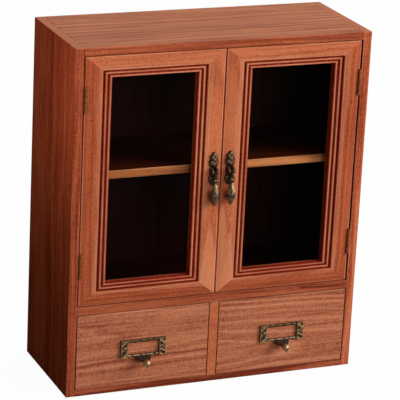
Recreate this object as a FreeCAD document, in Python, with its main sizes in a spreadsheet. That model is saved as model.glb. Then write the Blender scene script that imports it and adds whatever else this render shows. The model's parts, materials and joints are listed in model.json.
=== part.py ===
import FreeCAD, Part
import os
from types import SimpleNamespace

import Sketcher
from FreeCAD import Placement, Rotation, Vector

# A small cabinet that stands on a desk: a case of plain boards, two framed
# glass doors on butt hinges, a shelf behind them and two drawers below.
# +Z is up, the front faces -Y, and the origin is the centre of the underside.
# Sizes are millimetres. The left half is drawn, and its twins are mirrored.

SIZES = {
    # Case boards
    "case_wide": 300.0,
    "case_deep": 120.0,
    "case_tall": 345.0,
    "side_thick": 8.5,
    "top_thick": 7.5,
    "base_thick": 6.5,
    "deck_thick": 8.0,
    "divider_thick": 9.0,
    "bay_tall": 76.5,
    # Back panel, let into the sides and the top
    "back_thick": 4.0,
    "back_lap": 4.5,
    "top_lap": 3.5,
    "nail_radius": 0.6,
    "nail_head_radius": 1.2,
    "nail_head_thick": 0.6,
    "nail_long": 12.0,
    # Dowels between the boards
    "dowel_radius": 1.5,
    "dowel_long": 12.0,
    "dowel_bite": 4.0,
    "dowel_end_gap": 0.3,
    # Shelf and its pins
    "shelf_low": 212.0,
    "shelf_thick": 8.0,
    "shelf_back_from_front": 16.0,
    "shelf_gap": 0.4,
    "shelf_pin_radius": 2.0,
    "shelf_pin_long": 14.0,
    "shelf_pin_bite": 6.0,
    "shelf_pin_inset": 15.0,
    # Door frames
    "door_thick": 12.0,
    "door_gap_side": 1.3,
    "door_gap_middle": 1.4,
    "door_gap_top": 1.1,
    "door_gap_low": 1.0,
    "stile_wide": 27.2,
    "rail_wide": 21.2,
    "face_fall": 1.0,
    "mould_deep": 2.6,
    "glass_back": 5.2,
    "glass_thick": 2.0,
    "glass_play": 0.3,
    "strip_thick": 3.6,
    "sunk_pin_radius": 1.0,
    "sunk_pin_long": 8.0,
    "sunk_pin_in": 7.3,
    "sunk_pin_below": 6.5,
    "sunk_pin_deep": 0.4,
    # Butt hinges
    "hinge_long": 26.0,
    "hinge_inset": 28.0,
    "barrel_radius": 1.4,
    "pivot_in": 1.7,
    "pivot_proud": 0.3,
    "leaf_thick": 0.8,
    "leaf_wide": 10.5,
    "swing_gap": 0.25,
    "notch_gap": 0.35,
    "knuckle_gap": 0.1,
    "hinge_pin_radius": 0.6,
    "screw_head_radius": 1.7,
    "screw_radius": 0.8,
    "screw_long": 7.0,
    "screw_out": 6.2,
    "screw_spread": 8.0,
    # Catch under the top and its strike plates
    "catch_wide": 46.0,
    "catch_deep": 11.0,
    "catch_tall": 8.0,
    "catch_gap": 0.2,
    "magnet_wide": 14.0,
    "magnet_tall": 4.0,
    "magnet_proud": 1.2,
    "magnet_in": 5.0,
    "strike_wide": 17.0,
    "strike_tall": 9.0,
    "strike_thick": 1.0,
    "strike_drop": 1.0,
    # Drop pulls
    "pull_in": 7.8,
    "pull_top": 236.4,
    "plate_wide": 9.8,
    "plate_tall": 33.4,
    "plate_thick": 1.6,
    "crown_radius": 3.3,
    "crown_proud": 3.4,
    "crown_drop": 7.6,
    "pull_pin_drop": 19.0,
    "pull_pin_out": 5.6,
    "pull_pin_radius": 0.6,
    "cheek_thick": 2.3,
    "cheek_slot": 2.6,
    "cheek_above": 4.0,
    "cheek_below": 4.4,
    "cheek_proud": 2.1,
    "tang_gap": 0.2,
    "eye_radius": 1.8,
    "collar_top_drop": 4.9,
    "collar_tall": 6.9,
    "collar_radius": 3.2,
    "drop_tall": 21.6,
    "drop_radius": 4.7,
    "stud_drop": 8.6,
    "stud_radius": 1.5,
    "nut_radius": 3.2,
    "nut_thick": 2.4,
    "stud_past": 0.8,
    # Drawers
    "drawer_gap_side": 1.0,
    "drawer_gap_top": 0.9,
    "drawer_gap_low": 0.5,
    "drawer_lift": 0.1,
    "front_thick": 10.0,
    "box_inset": 1.5,
    "box_thick": 6.0,
    "box_headroom": 10.4,
    "box_back_drop": 4.0,
    "box_back_gap": 0.3,
    "tray_thick": 3.0,
    "tray_low": 4.0,
    "tray_bite": 3.0,
    "tray_play": 0.1,
    "brad_radius": 0.8,
    "brad_long": 22.0,
    "brad_deep": 0.4,
    "brad_low_height": 17.1,
    "brad_high_height": 56.0,
    # Label-holder pulls
    "label_height": 44.0,
    "label_wide": 46.6,
    "label_tall": 18.0,
    "window_wide": 32.0,
    "window_tall": 12.2,
    "label_thick": 1.8,
    "end_thick": 1.2,
    "end_margin": 0.7,
    "tongue_wide": 16.8,
    "tongue_tip_wide": 6.2,
    "tongue_thick": 1.5,
    "tongue_out": 12.0,
    "tongue_drop": 3.0,
    "tongue_swell": 0.8,
    "ball_radius": 3.8,
    "ball_out": 13.4,
    "ball_drop": 11.6,
    "ball_tip_radius": 1.4,
    "ball_tip_end": 0.5,
    "ball_tip_long": 5.9,
    "label_pin_radius": 0.6,
    "label_pin_head": 1.3,
    "label_pin_thick": 0.8,
    "label_pin_long": 7.0,
    # Fits
    "pin_play": 0.05,
    "hole_play": 0.1,
    "overrun": 1.0,
}

# How a sketch numbers the two ends of an edge
EDGE_ENDS = (1, 2)

KNUCKLES = 5
DROP_SIDES = 8

DOWEL_SHARES = (-0.3, 0.3)
SIDE_NAIL_SHARES = (0.06, 0.35, 0.64, 0.93)
ROW_NAIL_SHARES = (-0.62, 0.0, 0.62)
RABBET_SHARE = 0.19
STRIP_SHARE = 0.8
STRIKE_SHARE = 0.18

# The front of a door member from its outer edge to the glass: across the
# member, down the moulding, and the swell of the arc that ends there.
FACE_SHARES = (
    (0.40, 0.00, 0.06),
    (0.615, 0.00, 0.00),
    (0.650, 0.42, 0.10),
    (0.662, 0.95, 0.00),
    (0.708, 0.95, 0.00),
    (0.720, 0.62, 0.00),
    (0.818, 0.62, 0.36),
    (0.830, 0.90, 0.00),
    (0.872, 0.90, 0.00),
    (0.884, 0.74, 0.00),
    (0.986, 0.80, 0.34),
    (1.000, 1.10, 0.00),
)

# Half of the pull's plate from its top: out from the middle, down from the
# top, and the swell of the arc that ends there, as shares of its size.
PLATE_SHARES = (
    (0.17, 0.035, 0.018),
    (0.26, 0.085, 0.010),
    (0.42, 0.125, 0.014),
    (0.33, 0.215, 0.014),
    (0.50, 0.290, 0.018),
    (0.44, 0.385, 0.014),
    (0.30, 0.455, 0.008),
    (0.42, 0.505, 0.005),
    (0.41, 0.730, 0.004),
    (0.50, 0.810, 0.014),
    (0.36, 0.915, 0.014),
    (0.00, 1.000, 0.024),
)

# The collar's outline: how far down it and how far out, and the swell.
COLLAR_SHARES = (
    (0.00, 0.56, 0.00),
    (0.10, 0.62, 0.04),
    (0.18, 0.50, 0.00),
    (0.66, 0.62, 0.36),
    (0.74, 0.60, 0.00),
    (0.88, 0.74, 0.07),
    (1.00, 0.44, 0.00),
)

# The faceted drop: how far down it and how far out its corners are.
DROP_SHARES = ((0.0, 0.42), (0.50, 1.0), (0.64, 0.98), (0.86, 0.54), (1.0, 0.16))


class Size:
    """A number of the model, kept with the sheet formula that gives it."""

    def __init__(self, number, formula):
        self.number = number
        self.formula = formula

    def joined(self, sign, other, number):
        return Size(number, "(%s %s %s)" % (self.formula, sign, other.formula))

    def __add__(self, other):
        other = sized(other)
        return self.joined("+", other, self.number + other.number)

    def __radd__(self, other):
        return sized(other) + self

    def __sub__(self, other):
        other = sized(other)
        return self.joined("-", other, self.number - other.number)

    def __rsub__(self, other):
        return sized(other) - self

    def __mul__(self, other):
        other = sized(other)
        return self.joined("*", other, self.number * other.number)

    def __rmul__(self, other):
        return sized(other) * self

    def __truediv__(self, other):
        other = sized(other)
        return self.joined("/", other, self.number / other.number)

    def __neg__(self):
        return Size(-self.number, "(-%s)" % self.formula)


def sized(value):
    """Gives a plain ratio or zero the form of a Size."""
    return value if isinstance(value, Size) else Size(value, repr(value))


doc = FreeCAD.newDocument("desktop_cabinet")
sheet = doc.addObject("Spreadsheet::Sheet", "Sizes")
for row, (alias, number) in enumerate(SIZES.items(), start=1):
    sheet.set("A%d" % row, alias)
    sheet.set("B%d" % row, str(number))
    sheet.setAlias("B%d" % row, alias)
doc.recompute()
s = SimpleNamespace(**{alias: Size(number, "Sizes." + alias) for alias, number in SIZES.items()})

nodes = []
UP = Rotation()
TURNS = {
    "+x": Rotation(Vector(0, 1, 0), 90),
    "-x": Rotation(Vector(0, 1, 0), -90),
    "+y": Rotation(Vector(1, 0, 0), -90),
    "-y": Rotation(Vector(1, 0, 0), 90),
    "+z": UP,
    "-z": Rotation(Vector(1, 0, 0), 180),
    "-y-z": Rotation(Vector(0, 0, 1), Vector(0, -1, -1)),
}


# Helpers that make objects tied to the sheet


def tie(obj, **sizes):
    """Ties properties to formulas; two underscores stand for a dot."""
    for name, size in sizes.items():
        obj.setExpression(name.replace("__", "."), sized(size).formula)
    return obj


def put(obj, x, y, z, way="+z"):
    """Places an object, with its own +Z turned to the given way."""
    obj.Placement = Placement(Vector(), TURNS[way])
    return tie(obj, Placement__Base__x=x, Placement__Base__y=y, Placement__Base__z=z)


def block(name, x, y, z):
    """A box between a low and a high value on each axis."""
    box = doc.addObject("Part::Box", name)
    tie(box, Length=x[1] - x[0], Width=y[1] - y[0], Height=z[1] - z[0])
    return put(box, x[0], y[0], z[0])


def rod(name, radius, long, x, y, z, way="+z"):
    """A round rod that starts at a point and runs one way."""
    cylinder = doc.addObject("Part::Cylinder", name)
    tie(cylinder, Radius=radius, Height=long)
    return put(cylinder, x, y, z, way)


def cone(name, radius, end_radius, long, x, y, z, way="+z"):
    """A cone that starts at a point and runs one way."""
    solid = doc.addObject("Part::Cone", name)
    tie(solid, Radius1=radius, Radius2=end_radius, Height=long)
    return put(solid, x, y, z, way)


def fused(name, parts):
    solid = doc.addObject("Part::MultiFuse", name)
    solid.Shapes = parts
    return solid


def cut(name, base, tools):
    """A solid with one tool or several taken out of it."""
    solid = doc.addObject("Part::Cut", name)
    solid.Base = base
    solid.Tool = tools[0] if len(tools) == 1 else grouped(name + "_tools", tools)
    return solid


def grouped(name, parts):
    """Separate solids kept together under one name."""
    group = doc.addObject("Part::Compound", name)
    group.Links = parts
    return group


def mirrored(name, source, axis="x", at=0):
    """The twin of an object across a plane square to X or Z."""
    twin = doc.addObject("Part::Mirroring", name)
    twin.Source = source
    twin.Normal = Vector(1, 0, 0) if axis == "x" else Vector(0, 0, 1)
    return tie(twin, **{"Base__" + axis: at})


def node(name, obj):
    """Makes an object one of the part's pieces, under its own name."""
    obj.Label = name
    nodes.append(obj)
    return obj


def twins(name, obj):
    """Makes a left piece and its mirrored right twin."""
    node(name % "left", obj)
    node(name % "right", mirrored(obj.Name + "_twin", obj))


def both_sides(name, left):
    """Makes one piece of small parts on the left and their right twins."""
    node(name, grouped(name, [left, mirrored(name + "_twin", left)]))


def body(name, x, y, z):
    return put(doc.addObject("PartDesign::Body", name), x, y, z)


def sketch_on(owner, name, plane):
    """An empty sketch on one of a body's own planes."""
    sketch = owner.newObject("Sketcher::SketchObject", name)
    planes = {feature.Role: feature for feature in owner.Origin.OriginFeatures}
    sketch.AttachmentSupport = [(planes[plane], "")]
    sketch.MapMode = "FlatFace"
    return sketch


def trace(sketch, corners):
    """Draws a closed outline through its corners, each tied to the sheet.

    A corner is (x, y) or (x, y, swell), where the way to it is an arc that
    bulges to the right of the way by that much.
    """
    corners = [tuple(sized(value) for value in corner) for corner in corners]
    spots = [Vector(corner[0].number, corner[1].number, 0) for corner in corners]
    ends = []
    for index, corner in enumerate(corners):
        a, b = spots[index - 1], spots[index]
        if len(corner) == 2:
            edge = sketch.addGeometry(Part.LineSegment(a, b))
        else:
            right = Vector((b - a).y, -(b - a).x, 0).normalize()
            middle = (a + b) * 0.5 + right * corner[2].number
            edge = sketch.addGeometry(Part.Arc(a, middle, b))
        gaps = [sketch.getPoint(edge, end).distanceToPoint(b) for end in EDGE_ENDS]
        ends.append((edge,) + (EDGE_ENDS[::-1] if gaps[0] < gaps[1] else EDGE_ENDS))
    for index, corner in enumerate(corners):
        edge, _, near = ends[index]
        onward, start, _ = ends[(index + 1) % len(ends)]
        sketch.addConstraint(Sketcher.Constraint("Coincident", edge, near, onward, start))
        for kind, size in (("DistanceX", corner[0]), ("DistanceY", corner[1])):
            rule = sketch.addConstraint(Sketcher.Constraint(kind, edge, near, size.number))
            if "Sizes" in size.formula:
                sketch.setExpression("Constraints[%d]" % rule, size.formula)
        if len(corner) == 3:
            before = corners[index - 1]
            across, along, swell = corner[0] - before[0], corner[1] - before[1], corner[2]
            radius = ((across * across + along * along) / 4 + swell * swell) / (2 * swell)
            if radius.number < 0:
                radius = -radius
            rule = sketch.addConstraint(Sketcher.Constraint("Radius", edge, radius.number))
            sketch.setExpression("Constraints[%d]" % rule, radius.formula)
    return sketch


def pad(owner, name, sketch, long, both=False, back=False):
    feature = owner.newObject("PartDesign::Pad", name)
    feature.Profile = sketch
    feature.Reversed = back
    feature.SideType = "Symmetric" if both else "One side"
    return tie(feature, Length=long)


def pocket_through(owner, name, sketch):
    feature = owner.newObject("PartDesign::Pocket", name)
    feature.Profile = sketch
    feature.Type = "ThroughAll"
    feature.SideType = "Symmetric"
    return feature


# Places that several pieces share

half = s.case_wide / 2
inner = half - s.side_thick
front = -s.case_deep / 2
rear = s.case_deep / 2
back_face = rear - s.back_thick
deck_low = s.base_thick + s.bay_tall
deck_top = deck_low + s.deck_thick
top_low = s.case_tall - s.top_thick
back_top = top_low + s.top_lap

door_out = -inner + s.door_gap_side
door_in = -s.door_gap_middle / 2
door_wide = door_in - door_out
door_low = deck_top + s.door_gap_low
door_top = top_low - s.door_gap_top
door_tall = door_top - door_low
door_middle = (door_low + door_top) / 2
door_back = front + s.door_thick


# Case


def board_levels():
    """The middle heights of the boards that run between the sides."""
    return {
        "base": s.base_thick / 2,
        "deck": deck_low + s.deck_thick / 2,
        "top": top_low + s.top_thick / 2,
    }


def dowel_places():
    return [share * s.case_deep for share in DOWEL_SHARES]


def side_dowel_holes(name, level):
    """Blind holes across the joint between the left side and a board."""
    radius = s.dowel_radius + s.pin_play
    start = -inner - s.dowel_bite - s.dowel_end_gap
    long = s.dowel_long + 2 * s.dowel_end_gap
    return [
        rod("%s_hole_%d" % (name, index), radius, long, start, y, level, "+x")
        for index, y in enumerate(dowel_places())
    ]


def divider_dowel_holes(name, joint, sign):
    """Blind holes across the divider's joint with the bottom or the deck."""
    radius = s.dowel_radius + s.pin_play
    start = joint - sign * (s.dowel_bite + s.dowel_end_gap)
    long = s.dowel_long + 2 * s.dowel_end_gap
    way = "+z" if sign > 0 else "-z"
    return [
        rod("%s_hole_%d" % (name, index), radius, long, 0, y, start, way)
        for index, y in enumerate(dowel_places())
    ]


def carcase_dowels():
    start = -inner - s.dowel_bite
    side = [
        rod("side_dowel_%s_%d" % (name, index), s.dowel_radius, s.dowel_long, start, y, level, "+x")
        for name, level in board_levels().items()
        for index, y in enumerate(dowel_places())
    ]
    left = grouped("side_dowels_left", side)
    upright = []
    for index, y in enumerate(dowel_places()):
        low = s.base_thick - s.dowel_bite
        high = deck_low + s.dowel_bite
        upright.append(rod("low_dowel_%d" % index, s.dowel_radius, s.dowel_long, 0, y, low))
        upright.append(rod("high_dowel_%d" % index, s.dowel_radius, s.dowel_long, 0, y, high, "-z"))
    right = mirrored("side_dowels_right", left)
    node("carcase_dowels", grouped("carcase_dowels", [left, right] + upright))


def nail_places():
    """Where the back panel is nailed: round its edge and along the deck."""
    edge = inner + s.back_lap / 2
    uprights = [(sign * edge, share * back_top) for sign in (-1, 1) for share in SIDE_NAIL_SHARES]
    levels = (s.base_thick / 2, deck_low + s.deck_thick / 2, top_low + s.top_lap / 2)
    rows = [(share * inner, level) for level in levels for share in ROW_NAIL_SHARES]
    return uprights + rows


def nails(name, play):
    """Nails driven from behind, or their holes when play is given."""
    pieces = []
    wide = s.nail_head_radius + play
    for index, (x, z) in enumerate(nail_places()):
        label = "%s_%d" % (name, index)
        shank = rod(label + "_shank", s.nail_radius + play, s.nail_long + play, x, rear, z, "-y")
        head = rod(label + "_head", wide, s.nail_head_thick, x, rear, z, "-y")
        pieces.append(fused(label, [shank, head]))
    return grouped(name, pieces)


def shelf_pin_places():
    return [
        front + s.shelf_back_from_front + s.shelf_pin_inset,
        back_face - s.shelf_pin_inset,
    ]


def shelf_pins():
    height = s.shelf_low - s.shelf_pin_radius
    start = -inner - s.shelf_pin_bite
    pins = [
        rod("shelf_pin_%d" % index, s.shelf_pin_radius, s.shelf_pin_long, start, y, height, "+x")
        for index, y in enumerate(shelf_pin_places())
    ]
    both_sides("shelf_pins", grouped("shelf_pins_left", pins))


def side_panels(nail_holes):
    board = block("side_board", (-half, -inner), (front, rear), (sized(0), s.case_tall))
    rebate = block(
        "side_rebate",
        (-inner - s.back_lap, -inner + s.overrun),
        (back_face, rear + s.overrun),
        (-s.overrun, back_top),
    )
    tools = [rebate, nail_holes]
    for name, level in board_levels().items():
        tools += side_dowel_holes("side_" + name, level)
    height = s.shelf_low - s.shelf_pin_radius
    radius = s.shelf_pin_radius + s.pin_play
    long = s.shelf_pin_bite + s.overrun
    start = -inner + s.overrun
    for index, y in enumerate(shelf_pin_places()):
        tools.append(rod("shelf_hole_%d" % index, radius, long, start, y, height, "-x"))
    face = -inner + s.leaf_thick
    for index, z in enumerate(screw_heights()):
        tools.append(hinge_screw("side_screw_hole_%d" % index, face, z, "-x", s.pin_play))
    twins("side_panel_%s", cut("side_panel", board, tools))


def boards_between(nail_holes):
    levels = board_levels()
    divider_low = divider_dowel_holes("divider_low", s.base_thick, 1)
    divider_high = divider_dowel_holes("divider_high", deck_low, -1)
    across = (-inner, inner)

    def board_holes(name):
        left = grouped(name + "_left_holes", side_dowel_holes(name, levels[name]))
        return [left, mirrored(name + "_right_holes", left), nail_holes]

    base = block("base_board", across, (front, back_face), (sized(0), s.base_thick))
    node("bottom_panel", cut("bottom_panel", base, board_holes("base") + divider_low))

    deck = block("deck_board", across, (front, back_face), (deck_low, deck_top))
    node("middle_deck", cut("middle_deck", deck, board_holes("deck") + divider_high))

    top = block("top_board", across, (front, rear), (top_low, s.case_tall))
    rebate = block(
        "top_rebate",
        (-inner - s.overrun, inner + s.overrun),
        (back_face, rear + s.overrun),
        (top_low - s.overrun, back_top),
    )
    node("top_panel", cut("top_panel", top, board_holes("top") + [rebate]))

    half_divider = s.divider_thick / 2
    divider = block(
        "divider_board",
        (-half_divider, half_divider),
        (front, back_face),
        (s.base_thick, deck_low),
    )
    node("drawer_divider", cut("drawer_divider", divider, divider_low + divider_high))


def back_panel(nail_holes):
    reach = inner + s.back_lap
    board = block("back_board", (-reach, reach), (back_face, rear), (sized(0), back_top))
    node("back_panel", cut("back_panel", board, [nail_holes]))


def shelf():
    reach = inner - s.shelf_gap
    depth = (front + s.shelf_back_from_front, back_face - s.shelf_gap)
    height = (s.shelf_low, s.shelf_low + s.shelf_thick)
    node("shelf", block("shelf", (-reach, reach), depth, height))


# Hinges: each is drawn once, at the lower left, and mirrored up and across

hinge_low = door_low + s.hinge_inset
hinge_high = hinge_low + s.hinge_long
pivot_x = -inner + s.pivot_in
pivot_y = front - s.pivot_proud
swing_radius = s.barrel_radius + s.swing_gap


def screw_heights():
    """Heights of the hinge screws on one side, lower hinge first."""
    middle = (hinge_low + hinge_high) / 2
    low = [middle - s.screw_spread, middle + s.screw_spread]
    return low + [2 * door_middle - z for z in low]


def hinge_screw(name, x, z, way, play=0):
    """A countersunk screw from its head's face, or its hole with play."""
    y = pivot_y + s.screw_out
    wide = s.screw_head_radius + play
    narrow = s.screw_radius + play
    head = cone(name + "_head", wide, narrow, s.leaf_thick, x, y, z, way)
    shank = rod(name + "_shank", narrow, s.screw_long + play, x, y, z, way)
    return fused(name, [head, shank])


def hinge_leaf(name, x, first, way):
    """One leaf with every second knuckle, counted from the first."""
    leaf = (x, x + s.leaf_thick)
    deep = (pivot_y + swing_radius, pivot_y + s.leaf_wide)
    tongue = (pivot_y, pivot_y + swing_radius + s.swing_gap)
    pieces = [block(name + "_plate", leaf, deep, (hinge_low, hinge_high))]
    pitch = s.hinge_long / KNUCKLES
    tall = pitch - s.knuckle_gap
    for index in range(first, KNUCKLES, 2):
        low = hinge_low + index * pitch + s.knuckle_gap / 2
        knuckle = "%s_knuckle_%d" % (name, index)
        pieces.append(rod(knuckle, s.barrel_radius, tall, pivot_x, pivot_y, low))
        pieces.append(block(knuckle + "_tongue", leaf, tongue, (low, low + tall)))
    bore = rod(
        name + "_bore",
        s.hinge_pin_radius + s.pin_play,
        s.hinge_long + 2 * s.overrun,
        pivot_x,
        pivot_y,
        hinge_low - s.overrun,
    )
    face = x + s.leaf_thick if way == "-x" else x
    holes = [
        hinge_screw("%s_screw_hole_%d" % (name, index), face, z, way, s.pin_play)
        for index, z in enumerate(screw_heights()[:2])
    ]
    return cut(name, fused(name + "_blank", pieces), [bore] + holes)


def both_hinges(low):
    """A piece of the lower hinge together with its twin in the upper one."""
    return grouped(low.Name + "_pair", [low, mirrored(low.Name + "_up", low, "z", door_middle)])


def hinges():
    twins("hinge_case_leaves_%s", both_hinges(hinge_leaf("case_leaf", -inner, 0, "-x")))
    twins("hinge_door_leaves_%s", both_hinges(hinge_leaf("door_leaf", door_out, 1, "+x")))
    pin = rod("hinge_pin", s.hinge_pin_radius, s.hinge_long, pivot_x, pivot_y, hinge_low)
    both_sides("hinge_pins", both_hinges(pin))

    case_screws = [
        hinge_screw("case_screw_%d" % index, -inner + s.leaf_thick, z, "-x")
        for index, z in enumerate(screw_heights())
    ]
    both_sides("hinge_case_screws", grouped("case_screws", case_screws))
    door_screws = [
        hinge_screw("door_screw_%d" % index, door_out, z, "+x")
        for index, z in enumerate(screw_heights())
    ]
    twins("hinge_door_screws_%s", grouped("door_screws", door_screws))


def hinge_notch():
    """The recess for the lower hinge: a shallow seat and the barrel's notch."""
    x = door_out - s.overrun
    y = front - s.overrun
    tall = (hinge_low - s.hole_play, hinge_high + s.hole_play)
    seat_back = pivot_y + s.leaf_wide + s.hole_play
    seat = block("leaf_seat", (x, door_out + s.leaf_thick), (y, seat_back), tall)
    reach = s.barrel_radius + s.notch_gap
    notch = block("barrel_notch", (x, pivot_x + reach), (y, pivot_y + reach), tall)
    return fused("hinge_notch", [seat, notch])


# Doors


def member_face(wide, across_is_y):
    """The section of a door member, from its outer edge to the glass."""
    points = [(sized(0), s.door_thick), (sized(0), s.face_fall)]
    for across, down, swell in FACE_SHARES:
        corner = (across * wide, down * s.mould_deep)
        points.append(corner + (swell * s.mould_deep,) if swell else corner)
    rabbet = (1 - RABBET_SHARE) * wide
    points += [(wide, s.glass_back), (rabbet, s.glass_back), (rabbet, s.door_thick)]
    if across_is_y:
        points = [(down, across) + tuple(-swell for swell in rest) for across, down, *rest in points]
    return points


def stile():
    """An upright of the left door, at its hinged edge, mitred both ends."""
    stick = body("stile", door_out, front, door_low)
    section = trace(sketch_on(stick, "stile_section", "XY_Plane"), member_face(s.stile_wide, False))
    pad(stick, "stile_length", section, door_tall)
    past = s.stile_wide + s.overrun
    mitres = sketch_on(stick, "stile_mitres", "XZ_Plane")
    lower = [
        (0, 0),
        (s.stile_wide, s.rail_wide),
        (past, s.rail_wide),
        (past, -s.overrun),
        (0, -s.overrun),
    ]
    trace(mitres, lower)
    upper = [
        (0, door_tall),
        (s.stile_wide, door_tall - s.rail_wide),
        (past, door_tall - s.rail_wide),
        (past, door_tall + s.overrun),
        (0, door_tall + s.overrun),
    ]
    trace(mitres, upper)
    pocket_through(stick, "stile_mitre_cuts", mitres)
    return stick


def rail():
    """The lower crosspiece of the left door, mitred both ends."""
    stick = body("rail", door_out, front, door_low)
    section = trace(sketch_on(stick, "rail_section", "YZ_Plane"), member_face(s.rail_wide, True))
    pad(stick, "rail_length", section, door_wide)
    past = s.rail_wide + s.overrun
    mitres = sketch_on(stick, "rail_mitres", "XZ_Plane")
    outer_end = [
        (0, 0),
        (s.stile_wide, s.rail_wide),
        (s.stile_wide, past),
        (-s.overrun, past),
        (-s.overrun, 0),
    ]
    trace(mitres, outer_end)
    inner_end = [
        (door_wide, 0),
        (door_wide - s.stile_wide, s.rail_wide),
        (door_wide - s.stile_wide, past),
        (door_wide + s.overrun, past),
        (door_wide + s.overrun, 0),
    ]
    trace(mitres, inner_end)
    pocket_through(stick, "rail_mitre_cuts", mitres)
    return stick


def sunk_pin(name, play=0):
    """The pin set in the hinged stile, just below the upper hinge."""
    x = door_out + s.sunk_pin_in
    z = 2 * door_middle - hinge_high - s.sunk_pin_below
    if play:
        long = s.sunk_pin_deep + s.sunk_pin_long + play
        return rod(name, s.sunk_pin_radius + play, long, x, front, z, "+y")
    return rod(name, s.sunk_pin_radius, s.sunk_pin_long, x, front + s.sunk_pin_deep, z, "+y")


def stud(name, play=0):
    """The threaded stud of the left pull, from its plate through the stile."""
    long = s.door_thick + s.nut_thick + s.stud_past
    return rod(name, s.stud_radius + play, long, pull_x, front, s.pull_top - s.stud_drop, "+y")


def door_frames():
    outer = stile()
    holes = [
        hinge_screw("stile_screw_hole_%d" % index, door_out, z, "+x", s.pin_play)
        for index, z in enumerate(screw_heights())
    ]
    tools = [both_hinges(hinge_notch()), sunk_pin("sunk_pin_hole", s.pin_play)]
    twins("door_%s_stile_outer", cut("stile_outer", outer, tools + holes))

    inner_stick = mirrored("stile_inner_stick", outer, "x", (door_out + door_in) / 2)
    twins("door_%s_stile_inner", cut("stile_inner", inner_stick, [stud("stud_hole", s.hole_play)]))

    low = rail()
    twins("door_%s_rail_bottom", low)
    twins("door_%s_rail_top", mirrored("rail_top", low, "z", door_middle))
    twins("door_%s_sunk_pin", sunk_pin("sunk_pin"))


def door_glass():
    """The pane and the strips that hold it in its rabbet from behind."""
    side_wall = door_out + (1 - RABBET_SHARE) * s.stile_wide
    far_wall = door_in - (1 - RABBET_SHARE) * s.stile_wide
    low_wall = door_low + (1 - RABBET_SHARE) * s.rail_wide
    high_wall = door_top - (1 - RABBET_SHARE) * s.rail_wide
    pane_front = front + s.glass_back
    pane_back = pane_front + s.glass_thick
    play = s.glass_play
    across = (side_wall + play, far_wall - play)
    height = (low_wall + play, high_wall - play)
    twins("door_%s_glass", block("glass", across, (pane_front, pane_back), height))

    strip_deep = (pane_back, pane_back + s.strip_thick)
    upright_wide = STRIP_SHARE * RABBET_SHARE * s.stile_wide
    level_wide = STRIP_SHARE * RABBET_SHARE * s.rail_wide
    upright = block(
        "strip_upright",
        (side_wall, side_wall + upright_wide),
        strip_deep,
        (low_wall, high_wall),
    )
    level = block(
        "strip_level",
        (side_wall + upright_wide, far_wall - upright_wide),
        strip_deep,
        (low_wall, low_wall + level_wide),
    )
    strips = [
        upright,
        mirrored("strip_upright_far", upright, "x", (door_out + door_in) / 2),
        level,
        mirrored("strip_level_high", level, "z", door_middle),
    ]
    twins("door_%s_glass_strips", grouped("glass_strips", strips))


def catch():
    """A magnetic catch under the top, and the doors' strike plates."""
    strike_high = door_top - s.strike_drop
    strike_in = door_in - STRIKE_SHARE * s.stile_wide
    strike_back = door_back + s.strike_thick
    strike = block(
        "strike",
        (strike_in - s.strike_wide, strike_in),
        (door_back, strike_back),
        (strike_high - s.strike_tall, strike_high),
    )
    twins("strike_plate_%s", strike)

    reach = s.catch_wide / 2
    magnet_front = strike_back + s.catch_gap
    magnet_back = magnet_front + s.magnet_proud
    box = block(
        "catch_box",
        (-reach, reach),
        (magnet_back, magnet_back + s.catch_deep),
        (top_low - s.catch_tall, top_low),
    )
    middle = top_low - s.catch_tall / 2
    magnet = block(
        "magnet",
        (-s.magnet_in - s.magnet_wide, -s.magnet_in),
        (magnet_front, magnet_back),
        (middle - s.magnet_tall / 2, middle + s.magnet_tall / 2),
    )
    node("door_catch", fused("door_catch", [box, magnet, mirrored("magnet_right", magnet)]))


# Drop pulls, drawn on the left door

pull_x = door_in - s.pull_in
pin_height = s.pull_top - s.pull_pin_drop
pin_y = front - s.pull_pin_out
cheek_out = s.cheek_slot / 2 + s.cheek_thick


def pull_plate():
    """The cast plate with its crown, its two cheeks and the stud behind it."""
    plate = body("pull_plate", pull_x, front, s.pull_top)
    down_one_side = [
        (across * s.plate_wide, -down * s.plate_tall, -swell * s.plate_tall)
        for across, down, swell in PLATE_SHARES
    ]
    starts = [(sized(0), sized(0), sized(0))] + down_one_side[:-1]
    up_the_other = [
        (-start[0], start[1], step[2])
        for start, step in zip(reversed(starts), reversed(down_one_side))
    ]
    outline = sketch_on(plate, "pull_outline", "XZ_Plane")
    trace(outline, down_one_side + up_the_other)
    pad(plate, "pull_plate_pad", outline, s.plate_thick)

    def cheek(name, x):
        foot = block(
            name + "_foot",
            (x, x + s.cheek_thick),
            (pin_y, front - s.plate_thick / 2),
            (pin_height - s.cheek_below, pin_height + s.cheek_above),
        )
        nose = rod(name + "_nose", s.cheek_proud, s.cheek_thick, x, pin_y, pin_height, "+x")
        return [foot, nose]

    crown_height = s.pull_top - s.crown_drop
    crown = rod("pull_crown", s.crown_radius, s.crown_proud, pull_x, front, crown_height, "-y")
    casting = [plate, crown, stud("pull_stud")]
    casting += cheek("cheek_near", pull_x - cheek_out) + cheek("cheek_far", pull_x + s.cheek_slot / 2)
    hole = rod(
        "pull_pin_hole",
        s.pull_pin_radius + s.pin_play,
        2 * (cheek_out + s.overrun),
        pull_x - cheek_out - s.overrun,
        pin_y,
        pin_height,
        "+x",
    )
    twins("pull_%s_plate", cut("pull_casting", fused("pull_blank", casting), [hole]))
    start = pull_x - cheek_out
    pin = rod("pull_pin", s.pull_pin_radius, 2 * cheek_out, start, pin_y, pin_height, "+x")
    twins("pull_%s_pin", pin)

    height = s.pull_top - s.stud_drop
    blank = rod("nut_blank", s.nut_radius, s.nut_thick, pull_x, door_back, height, "+y")
    twins("pull_%s_nut", cut("pull_nut", blank, [stud("nut_thread", s.pin_play)]))


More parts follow.
